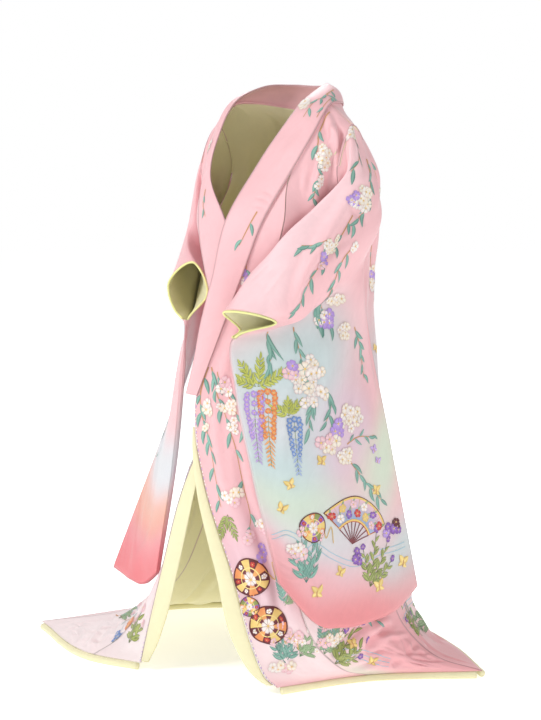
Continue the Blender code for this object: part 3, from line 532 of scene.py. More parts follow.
class BodyPattern:
    """The six panels of the body, from the tables of sections and yoke levels."""

    LINES = {"front_left": (1, 2), "okumi_left": (0, 1), "back_left": (4, 2),
             "front_right": (7, 6), "okumi_right": (8, 7), "back_right": (4, 6)}
    OUTWARD = {"front_left": 1.0, "okumi_left": 1.0, "back_left": -1.0,
               "front_right": -1.0, "okumi_right": -1.0, "back_right": 1.0}
    SIDE_SEAMS, LAST_SEAM = (2, 6), 8
    FRONTS = ((1, 2), (6, 7))

    def section_row(self, section: Section, first: int, last: int, count: int) -> Grid:
        """Return one panel's share of a section, pressed flat or cornered as the section says.

        Args:
            section: the section.
            first: the seam where the panel starts.
            last: the seam where it ends.
            count: the panel's cells.

        Returns:
            The row of points.
        """
        plan = [(x, y, section.height) for x, y in section.plan]
        row = stretch_of(plan, first, last, count)
        begin = max([0] + [side for side in self.SIDE_SEAMS if side <= first])
        finish = min([self.LAST_SEAM] + [side for side in self.SIDE_SEAMS if side >= last])
        cornered = stretch_of(plan[begin:finish + 1], first - begin, last - begin, count)
        row = row + (cornered - row) * section.corner
        if (first, last) in self.FRONTS:
            chord = row[0] + (row[-1] - row[0]) * np.linspace(0.0, 1.0, count + 1)[:, None]
            row = row + (chord - row) * section.press
        return row

    def level_places(self) -> tuple[np.ndarray, np.ndarray]:
        """Return the levels' distances down the side and those of every row of cloth.

        Returns:
            The levels' distances and the rows'.
        """
        line = [yoke.armhole_front for yoke in YOKE]
        line += [(*section.plan[2], section.height) for section in SECTIONS]
        knots = chord_knots(line)
        places = [np.linspace(knots[step], knots[step + 1], rows * FINER_ROWS + 1)[:-1]
                  for step, rows in enumerate(ROWS_BETWEEN)]
        return knots, np.concatenate(places + [knots[-1:]])

    def yoke_row(self, yoke: Yoke, name: str, count: int) -> Grid:
        """Return one panel's share of a yoke level.

        Args:
            yoke: the level.
            name: the panel.
            count: the panel's cells.

        Returns:
            The row of points, from the collar side or the centre to the armhole.
        """
        mirror = np.array((1.0 if name.endswith("left") else -RIGHT_SHOULDER, 1.0, 1.0))
        neck = np.array(yoke.neck_front) * mirror
        if name.startswith("okumi"):
            return stretch_of([neck + np.array(OKUMI_TIP) * mirror, neck], 0, 1, count)
        if name.startswith("front"):
            return stretch_of([neck, yoke.armhole_front * mirror], 0, 1, count)
        if yoke.name == "shoulder":
            return self.neck_row(COLLARS[name.split("_")[1]], yoke.back_mid * mirror,
                                 yoke.armhole_back * mirror, count)
        half = np.array((yoke.centre_back, yoke.back_mid, yoke.armhole_back))
        return stretch_of([*half[:0:-1] * (-1, 1, 1), *half], 2, 4, count) * mirror

    def neck_row(self, stations: tuple[CollarStation, ...], shoulder: Grid, armhole: Grid,
                 count: int) -> Grid:
        """Return a back panel's top row: under the collar from the nape, then along the shoulder.

        Args:
            stations: the collar's table.
            shoulder: where the collar crosses the shoulder.
            armhole: the armhole's top.
            count: the panel's cells.

        Returns:
            The row of points.
        """
        seam = np.array([station.seam for station in stations])
        knots = chord_knots(seam)
        sideways = np.array((math.copysign(1.0, seam[1][0]), 0.0, 0.0))
        cells = round(count * NECK_SHARE)
        under = smooth(knots, seam, np.linspace(0.0, knots[3], cells + 1), start=sideways)
        outward = stretch_of([shoulder, armhole], 0, 1, count - cells)
        return np.concatenate((under[:-1] - (0.0, 0.0, NECK_LAP), outward))

    def panel(self, name: str) -> Grid:
        """Return a panel's grid from its top to the hem.

        Args:
            name: the panel.

        Returns:
            Its grid, not yet folded.
        """
        kind = name.split("_")[0]
        count = CELLS[kind]
        rows = [self.yoke_row(yoke, name, count) for yoke in YOKE]
        first, last = self.LINES[name]
        for section in SECTIONS:
            row = self.section_row(section, min(first, last), max(first, last), count)
            rows.append(row[::-1] if first > last else row)
        rows = np.array(rows)
        knots, places = self.level_places()
        over = np.zeros_like(rows[0])
        over[:, 1] = 1.0 if kind == "back" else -1.0
        if kind == "back":
            neck = np.clip((rows[0][:, 1:2] - YOKE[0].back_mid[1]) / NECK_TURN, 0.0, 1.0)
            over = over * (1 - neck) + (rows[1] - rows[0]) / knots[1] * neck
        grid = smooth(knots, rows, places, start=over)
        return grid[TIP_ROW:] if kind == "okumi" else grid

    def folded(self, name: str) -> Grid:
        """Return a panel's grid with its large folds.

        Args:
            name: the panel.

        Returns:
            Its grid.
        """
        grid = self.panel(name)
        down = np.linspace(0.0, 1.0, grid.shape[0])[:, None]
        across = np.linspace(0.0, 1.0, grid.shape[1])[None, :]
        lift = np.zeros(grid.shape[:2])
        for fold in FOLDS[name]:
            along = np.clip((down - fold.start) / (fold.end - fold.start), 0.0, 1.0)
            middle = fold.across_top + (fold.across_bottom - fold.across_top) * along
            window = np.sin(math.pi * along) ** FOLD_BLUNTNESS * (along > 0) * (along < 1)
            lift += fold.height * window * np.exp(-((across - middle) / fold.width) ** 2)
        lift *= np.sin(math.pi * across) * self.OUTWARD[name]
        return grid + grid_normals(grid) * lift[..., None]

    def inward(self, grid: Grid, column: int) -> Grid:
        """Return the unit direction from a side seam into the panel at each row."""
        inner = 1 if column == 0 else column - 1
        return unit(grid[:, inner] - grid[:, column])

    def pull(self, own: Grid, partner: Grid) -> np.ndarray:
        """Return how far a wall stays back from its seam, more where the panels meet at an angle."""
        half_turn = np.arccos(np.clip(-np.sum(own * partner, axis=1), -1.0, 1.0)) / 2
        return SEAM_GAP / 2 + CLOTH / 2 * np.minimum(np.tan(half_turn), STEEPEST_SEAM)

    def draw_in(self, grid: Grid, pulls: tuple, top: float | np.ndarray) -> Grid:
        """Pull a grid back from its side seams and from its top edge.

        Args:
            grid: the panel.
            pulls: how far at each side seam, one number or one for each row.
            top: how far at the top.

        Returns:
            The fitted grid.
        """
        out = grid.copy()
        for column, amount in zip((0, -1), pulls):
            out[:, column] += self.inward(grid, column) * np.reshape(amount, (-1, 1))
        out[0] += unit(grid[1] - grid[0]) * np.reshape(top, (-1, 1))
        return out

    def meet_sleeve(self, grid: Grid, side: str) -> Grid:
        """Carry a panel's armhole edge out to the sleeve's first ring, and the cloth beside it with it.

        Args:
            grid: the panel.
            side: left or right.

        Returns:
            The panel, sewn to its sleeve.
        """
        rings = sleeve_rings(*SLEEVES[side])
        starts, runs = rings[0][:-1], np.diff(rings[0], axis=0)
        inward = self.inward(grid, -1)
        beside = round(grid.shape[1] * ARMHOLE_SHARE)
        fade = np.linspace(0.0, 1.0, beside)[:, None] ** 1.5
        out = grid.copy()
        for row in range(TIP_ROW + FINER_ROWS):
            edge = grid[row, -1]
            along = np.clip(np.sum((edge - starts) * runs, axis=1) / np.sum(runs**2, axis=1), 0.0, 1.0)
            places = starts + runs * along[:, None]
            nearest = int(np.argmin(np.linalg.norm(places - edge, axis=1)))
            into_sleeve = unit(rings[4][nearest] - rings[0][nearest])
            pull = self.pull(inward[row:row + 1], into_sleeve[None, :])[0] * ARMHOLE_PULL
            shift = places[nearest] + inward[row] * pull - edge
            share = min(1.0, 1.0 - (row - TIP_ROW) / FINER_ROWS)
            out[row, -beside:] += shift * fade * share
        return out

    def panels(self) -> dict[str, Grid]:
        """Return every panel's grid, fitted to the ones that it is sewn to.

        Returns:
            The grids by the panels' names.
        """
        grids = {name: self.folded(name) for name in self.LINES}
        fitted = {}
        for side in ("left", "right"):
            front, okumi, back = (grids[f"{part}_{side}"] for part in ("front", "okumi", "back"))
            other = grids["back_right" if side == "left" else "back_left"]
            front[UNDERARM_ROW:, -1] = (front[UNDERARM_ROW:, -1] + back[UNDERARM_ROW:, -1]) / 2
            back[UNDERARM_ROW:, -1] = front[UNDERARM_ROW:, -1]
            side_seam = self.pull(self.inward(front, -1), self.inward(back, -1))
            okumi_seam = self.pull(self.inward(front, 0)[TIP_ROW:], self.inward(okumi, -1))
            front_pulls = (np.concatenate((np.full(TIP_ROW, SEAM_GAP / 2), okumi_seam)), side_seam)
            centre_seam = self.pull(self.inward(back, 0), self.inward(other, 0))
            fitted["front_" + side] = self.meet_sleeve(self.draw_in(front, front_pulls, CREASE_GAP), side)
            fitted["okumi_" + side] = self.draw_in(okumi, (0.0, okumi_seam), CREASE_GAP)
            under_collar = np.linspace(0.0, 1.0, back.shape[1]) < NECK_SHARE - 0.02
            top = np.where(under_collar, -NECK_TUCK, CREASE_GAP)
            back = self.draw_in(back, (centre_seam, side_seam), top)
            fitted["back_" + side] = self.meet_sleeve(back, side)
        return fitted


def collar_grid(stations: tuple[CollarStation, ...], outward: float) -> Grid:
    """Return the collar band's grid, from its seam to its free edge, rounded across.

    Args:
        stations: the table of the band.
        outward: the side of its normals that shows.

    Returns:
        The grid.
    """
    seam_table = [station.seam for station in stations]
    knots = chord_knots(seam_table)
    places = np.linspace(0.0, knots[-1], COLLAR_ROWS + 1)
    sideways = np.array((math.copysign(1.0, stations[1].seam[0]), 0.0, 0.0))
    seams = smooth(knots, seam_table, places, start=sideways)
    frees = smooth(knots, [station.free for station in stations], places, start=sideways * COLLAR_EDGE_PULL)
    across = np.linspace(0.0, 1.0, COLLAR_CELLS + 1)[None, :, None]
    seams = seams + unit(seams - frees) * COLLAR_COVER
    grid = seams[:, None, :] * (1 - across) + frees[:, None, :] * across
    height = np.interp(places, knots, [station.crown for station in stations])[:, None]
    width = np.linalg.norm(grid[:, -1] - grid[:, 0], axis=1)[:, None]
    lift = COLLAR_LAP + height * np.sin(math.pi * across[..., 0]) * np.minimum(width / NARROW_COLLAR, 1.0)
    grid = grid + grid_normals(grid) * (lift * outward)[..., None]
    grid[0] += unit(grid[1] - grid[0]) * NAPE_GAP
    return grid


def sleeve_rings(stations: tuple[SleeveStation, ...], waist_faces: Place, bottom_faces: Place) -> Grid:
    """Return the sleeve's rings: up the bag's outer layer, round the arm, down its inner layer.

    Args:
        stations: the table of the sleeve.
        waist_faces: the way that the bag's outer layer faces high up.
        bottom_faces: the way that it faces at its foot.

    Returns:
        The grid, armhole to cuff.
    """
    waist_faces, bottom_faces = np.array(waist_faces), np.array(bottom_faces)
    rings = []
    for station in stations:
        top, outer, under, inner = np.array(station.arm)
        flat = unit((outer - inner) * (1.0, 1.0, 0.0))
        play = np.array((flat, unit(flat + waist_faces), (waist_faces + bottom_faces) / 2,
                         bottom_faces * BAG_CLOSE)) * BAG_PLAY
        outer_side, inner_side = (station.bag + play)[::-1], station.bag - play
        up = stretch_of([*outer_side, under], 0, 3, BAG_CELLS)
        around = stretch_of([*outer_side[2:], under, outer, top, inner, *inner_side[:2]], 1, 6, ARM_CELLS)
        down = stretch_of([inner, *inner_side], 1, 4, BAG_CELLS)
        rings.append(np.concatenate((up, around[1:-1], down)))
    rings = np.array(rings)
    middle = BAG_CELLS + ARM_CELLS // 2
    knots = chord_knots(rings[:, middle] * 0.5 + rings[:, 0] * 0.5)
    return part_layers(smooth(knots, rings, np.linspace(0.0, knots[-1], SLEEVE_ROWS + 1)))


def part_layers(rings: Grid) -> Grid:
    """Keep the sleeve's outer and inner layers a wall apart where the bag leaves the arm.

    Args:
        rings: the sleeve's rings; each point's partner in the other layer is its mirror in the ring.

    Returns:
        The rings, with their layers apart.
    """
    half = rings.shape[1] // 2
    apart = rings[:, :half] - rings[:, ::-1][:, :half]
    side = unit(np.mean(apart[:, BAG_CELLS // 3:BAG_CELLS], axis=1))[:, None, :]
    window = np.interp(np.arange(half), (BAG_CELLS * 0.25, BAG_CELLS * 0.5, BAG_CELLS + ARM_CELLS * 0.16,
                                         BAG_CELLS + ARM_CELLS * 0.30), (0.0, 1.0, 1.0, 0.0))
    short = np.maximum(LAYERS_APART - np.sum(apart * side, axis=2), 0.0) * window
    short *= np.clip(np.linspace(-0.1, 3.0, len(rings)), 0.0, 1.0)[:, None]
    for _ in range(6):
        short[:, 1:-1] = np.maximum(short[:, 1:-1], (short[:, :-2] + short[:, 2:]) / 2)
    push = (short / 2)[..., None] * side
    parted = rings.copy()
    parted[:, :half] += push
    parted[:, ::-1][:, :half] -= push
    return parted


class Hue(Enum):
    """The threads that the embroidery is worked in: heart, body and rim of a petal or leaf."""

    WHITE = ((248, 222, 206), (253, 248, 242), (222, 192, 190))
    CREAM = ((247, 224, 198), (252, 244, 230), (222, 194, 172))
    BLUSH = ((240, 186, 196), (249, 214, 220), (228, 168, 180))
    LILAC = ((222, 196, 240), (190, 158, 228), (168, 134, 208))
    VIOLET = ((186, 150, 220), (150, 104, 190), (104, 60, 140))
    ORANGE = ((250, 196, 120), (238, 146, 88), (214, 112, 58))
    BLUE = ((198, 214, 240), (128, 158, 212), (88, 120, 182))
    TEAL = ((146, 188, 174), (112, 166, 152), (82, 136, 124))
    SAGE = ((168, 190, 150), (132, 164, 120), (98, 134, 92))
    OLIVE = ((176, 184, 110), (138, 150, 84), (102, 118, 60))
    LIME = ((206, 208, 108), (170, 180, 78), (126, 142, 54))
    GOLD = ((250, 226, 150), (240, 206, 120), (222, 180, 92))
    BARK = ((214, 164, 116), (204, 148, 100), (188, 130, 84))
    WATER = ((188, 218, 228), (170, 208, 222), (160, 200, 216))
    RED = ((236, 120, 96), (214, 72, 62), (170, 44, 44))
    WINE = ((128, 60, 66), (100, 38, 46), (74, 26, 34))


POSY_HUES = {"w": Hue.WHITE, "c": Hue.CREAM, "b": Hue.BLUSH, "l": Hue.LILAC, "v": Hue.VIOLET,
             "r": Hue.RED, "n": Hue.WINE, "g": Hue.GOLD, "o": Hue.ORANGE, "u": Hue.BLUE}


@dataclass(frozen=True)
class Bough:
    """A weeping branch: its run, how many leaves and how long they are, and its twig's half breadth."""

    run: tuple[int, ...]
    leaves: int
    leaf: float = 34
    hue: Hue = Hue.TEAL
    twig: float = 1.6


@dataclass(frozen=True)
class Posy:
    """Blossoms crowded round one place, in threads named by their letters."""

    place: Plan
    reach: Plan
    count: int
    size: float = 12
    hues: str = "w"


@dataclass(frozen=True)
class Raceme:
    """A hanging spike of pea flowers."""

    place: Plan
    length: float
    width: float
    hue: Hue


@dataclass(frozen=True)
class Stream:
    """Thin running lines of water."""

    run: tuple[int, ...]
    lines: int = 2
    apart: float = 12


@dataclass(frozen=True)
class Sprig:
    """A motif set at one place, with its size and how far it is turned."""

    place: Plan
    size: float
    angle: float


@dataclass(frozen=True)
class Frond(Sprig):
    """A leaf with leaflets on both sides, turned from straight down."""

    hue: Hue = Hue.LIME


@dataclass(frozen=True)
class Herb(Sprig):
    """A plant that stands up from its foot, with flowers at its top."""

    bloom: Hue = Hue.VIOLET
    leaf: Hue = Hue.OLIVE


@dataclass(frozen=True)
class Butterfly(Sprig):
    """A small butterfly."""

    hue: Hue = Hue.GOLD


class Fan(Sprig):
    """An open folding fan with a flowered leaf."""


@dataclass(frozen=True)
class Ball(Sprig):
    """A thread ball wound in a flower pattern, with a tassel cord."""

    dark: bool = False


PINK = (240, 189, 193)
LINING_GREEN = (235, 229, 188)
CUFF_YELLOW = (236, 236, 160)
AQUA = (196, 216, 216)
MIST = (214, 216, 220)
MAUVE = (222, 198, 212)
MINT = (210, 226, 204)
PEACH = (238, 192, 164)
DEEP = (234, 142, 145)
PALE = (244, 232, 232)
ROSE = (240, 174, 178)

# Middle and reach of each cloud in thousandths of the piece, its colour and its strength in hundredths. Most
# clouds are dyed shading; the ones marked below are painted light.
DYES_AND_PAINTED_LIGHT: dict[str, Rows] = {
    "sleeve_left": (
        # Painted highlight: the pale pink (250, 216, 220) cloud along the forearm's upper side stands for its
        # lit top.
        (160, 800, 110, 420, MAUVE, 75), (494, 625, 50, 600, (250, 216, 220), 80),
        (256, 758, 60, 420, AQUA, 95), (192, 825, 55, 300, MIST, 85), (151, 875, 45, 260, AQUA, 90),
        (112, 800, 35, 300, MINT, 85), (179, 425, 40, 240, MAUVE, 80), (128, 125, 40, 260, MINT, 90),
        (83, 567, 35, 400, MIST, 75), (32, 83, 35, 300, AQUA, 90), (48, 942, 22, 300, ROSE, 70),
        (0, 620, 35, 700, DEEP, 95), (985, 500, 50, 800, DEEP, 90), (880, 500, 50, 600, MIST, 80),
    ),
    "sleeve_right": (
        (131, 1000, 40, 3000, MIST, 100), (67, 1000, 32, 3000, (226, 172, 146), 95),
        (35, 900, 18, 3000, MAUVE, 45), (0, 500, 62, 3000, (226, 116, 122), 100),
        (1000, 500, 62, 3000, (226, 116, 122), 100), (830, 500, 50, 3000, MIST, 90),
    ),
    "okumi_left": (
        (500, 720, 900, 100, MAUVE, 50), (500, 860, 900, 110, PALE, 75),
    ),
    "front_left": (
        (100, 660, 350, 120, MAUVE, 60), (120, 820, 260, 120, PALE, 85), (60, 970, 220, 50, MINT, 60),
        (750, 620, 300, 120, AQUA, 50), (850, 940, 460, 160, ROSE, 85),
    ),
    "front_right": (
        (500, 550, 800, 120, MIST, 80), (500, 750, 800, 100, MAUVE, 70), (400, 950, 1200, 170, PALE, 95),
    ),
    "okumi_right": (
        (500, 600, 900, 120, MIST, 80), (400, 930, 1400, 200, PALE, 95),
    ),
    "back_left": (
        (300, 520, 550, 110, AQUA, 75), (750, 620, 450, 100, MAUVE, 75), (350, 720, 500, 80, MINT, 75),
        (450, 860, 600, 90, PALE, 70), (600, 1000, 900, 90, ROSE, 90), (960, 920, 200, 140, ROSE, 85),
    ),
    "back_right": (
        (350, 460, 550, 100, MAUVE, 75), (550, 580, 500, 100, AQUA, 80), (250, 740, 500, 80, PEACH, 50),
        (700, 900, 700, 140, PALE, 90), (150, 1000, 600, 70, ROSE, 80),
    ),
}

# Across and down of each crease's start and end in thousandths of the piece, its width and depth
# (troughs below 0) in tenths of a millimetre, and its bow in hundredths of its length.
CREASES: dict[str, Rows] = {
    "collar_left": (
        (500, 505, 0, 519, 40, -22, 5), (438, 524, 0, 538, 36, -20, 4), (438, 486, 0, 505, 44, -14, 5),
        (438, 314, 375, 433, 120, 20, 4),
    ),
    "front_left": (
        (16, 31, 953, 152, 120, 85, -8), (516, 34, 1000, 169, 90, -80, -6),
        (453, 121, 469, 217, 100, -45, 6), (406, 141, 328, 221, 70, 25, 4),
        (703, 841, 0, 907, 110, -150, 8), (875, 838, 16, 931, 130, 130, 10),
        (875, 852, 375, 903, 80, -80, 8), (1000, 872, 547, 872, 70, 60, 10),
        (719, 917, 375, 900, 65, -55, 6), (719, 917, 594, 883, 55, -50, -6),
        (719, 921, 844, 879, 55, -55, 5), (719, 921, 1000, 890, 55, -55, -5),
        (766, 914, 1000, 924, 60, -60, -8), (719, 924, 1000, 948, 60, -55, 6),
        (672, 931, 719, 966, 50, -45, 6), (641, 928, 422, 959, 50, -40, 5),
        (922, 903, 1000, 948, 80, 60, 8), (438, 921, 31, 962, 70, -60, 8),
        (620, 300, 500, 520, 160, -60, 5), (860, 340, 700, 600, 140, 50, -5),
        (400, 460, 600, 800, 200, 70, 3),
    ),
    "okumi_left": (
        (550, 260, 400, 600, 130, 52, 3), (700, 500, 450, 860, 120, -59, -4),
        (300, 660, 500, 950, 100, 46, 5),
    ),
    "back_left": (
        (200, 60, 300, 340, 200, -90, 4), (480, 50, 620, 260, 160, 90, -5),
        (860, 160, 600, 400, 180, -120, 6), (700, 340, 820, 620, 220, 135, -3),
        (400, 300, 340, 660, 240, -120, 3), (160, 440, 220, 800, 220, 120, -3),
        (560, 560, 660, 880, 180, -150, 5), (720, 780, 640, 970, 120, 105, 6),
        (400, 800, 460, 980, 130, -120, -5), (840, 800, 920, 970, 110, -90, 4),
        (220, 860, 160, 980, 100, 75, 5), (80, 930, 110, 995, 70, -60, 6),
        (310, 950, 290, 995, 60, -45, -8), (520, 920, 550, 990, 70, 60, 5),
        (950, 900, 930, 990, 60, -60, 6),
    ),
    "back_right": (
        (240, 70, 340, 300, 180, -83, -4), (520, 60, 600, 300, 160, 90, 5),
        (860, 150, 640, 380, 180, -120, -6), (760, 360, 860, 660, 200, 128, 4),
        (440, 320, 360, 700, 240, -128, -3), (140, 400, 200, 740, 220, 112, 3),
        (600, 580, 720, 900, 180, -150, -5), (780, 800, 700, 970, 130, 112, -6),
        (440, 780, 520, 970, 140, -120, 5), (280, 840, 240, 980, 110, 90, -4),
        (100, 940, 70, 995, 60, -55, -6), (370, 930, 400, 990, 70, 50, 8),
        (610, 950, 590, 995, 60, -60, -5), (880, 910, 920, 990, 70, -55, 6),
    ),
    "front_right": (
        (500, 40, 400, 180, 110, -56, 5), (600, 360, 460, 700, 180, 84, -3),
        (300, 600, 460, 920, 150, -84, 5), (938, 969, 312, 1000, 80, -70, 8),
        (641, 948, 0, 997, 90, 84, -6), (906, 983, 328, 969, 70, 56, 8), (1000, 938, 0, 941, 80, -70, 5),
        (200, 930, 240, 995, 60, -50, 8), (360, 950, 330, 995, 50, 45, -6),
        (480, 910, 520, 990, 60, -55, 5), (670, 940, 640, 995, 50, -45, -8),
        (820, 900, 860, 990, 70, 55, 6),
    ),
    "okumi_right": (
        (500, 300, 400, 620, 110, -46, 3), (600, 660, 450, 940, 110, 52, -4),
    ),
    "sleeve_left": (
        (474, 267, 429, 858, 150, 130, 5), (410, 358, 413, 800, 80, -28, -6),
        (497, 317, 474, 708, 130, -30, 3), (510, 0, 522, 217, 140, 70, -5), (487, 0, 474, 217, 140, -70, 4),
        (452, 0, 429, 267, 120, 45, 4), (458, 350, 420, 308, 80, -40, 6), (529, 892, 494, 742, 60, -18, 5),
        (500, 925, 462, 692, 60, 16, -4), (260, 358, 183, 492, 190, -60, 3),
        (353, 242, 170, 50, 200, 75, -3), (295, 558, 192, 667, 150, 35, 3),
        (282, 700, 163, 850, 140, -30, -2), (32, 1000, 51, 875, 50, -16, 6), (13, 1000, 45, 858, 50, 14, 6),
        (860, 200, 900, 620, 160, -40, 4), (940, 300, 920, 800, 160, 40, -4),
    ),
    "sleeve_right": (
        (140, 100, 120, 600, 150, 40, 4), (220, 120, 240, 560, 140, -50, -4),
        (60, 140, 80, 700, 160, -35, 3), (300, 200, 280, 600, 110, 45, 5),
        (800, 120, 840, 600, 140, -40, -4), (920, 200, 900, 700, 150, 35, 4),
    ),
}

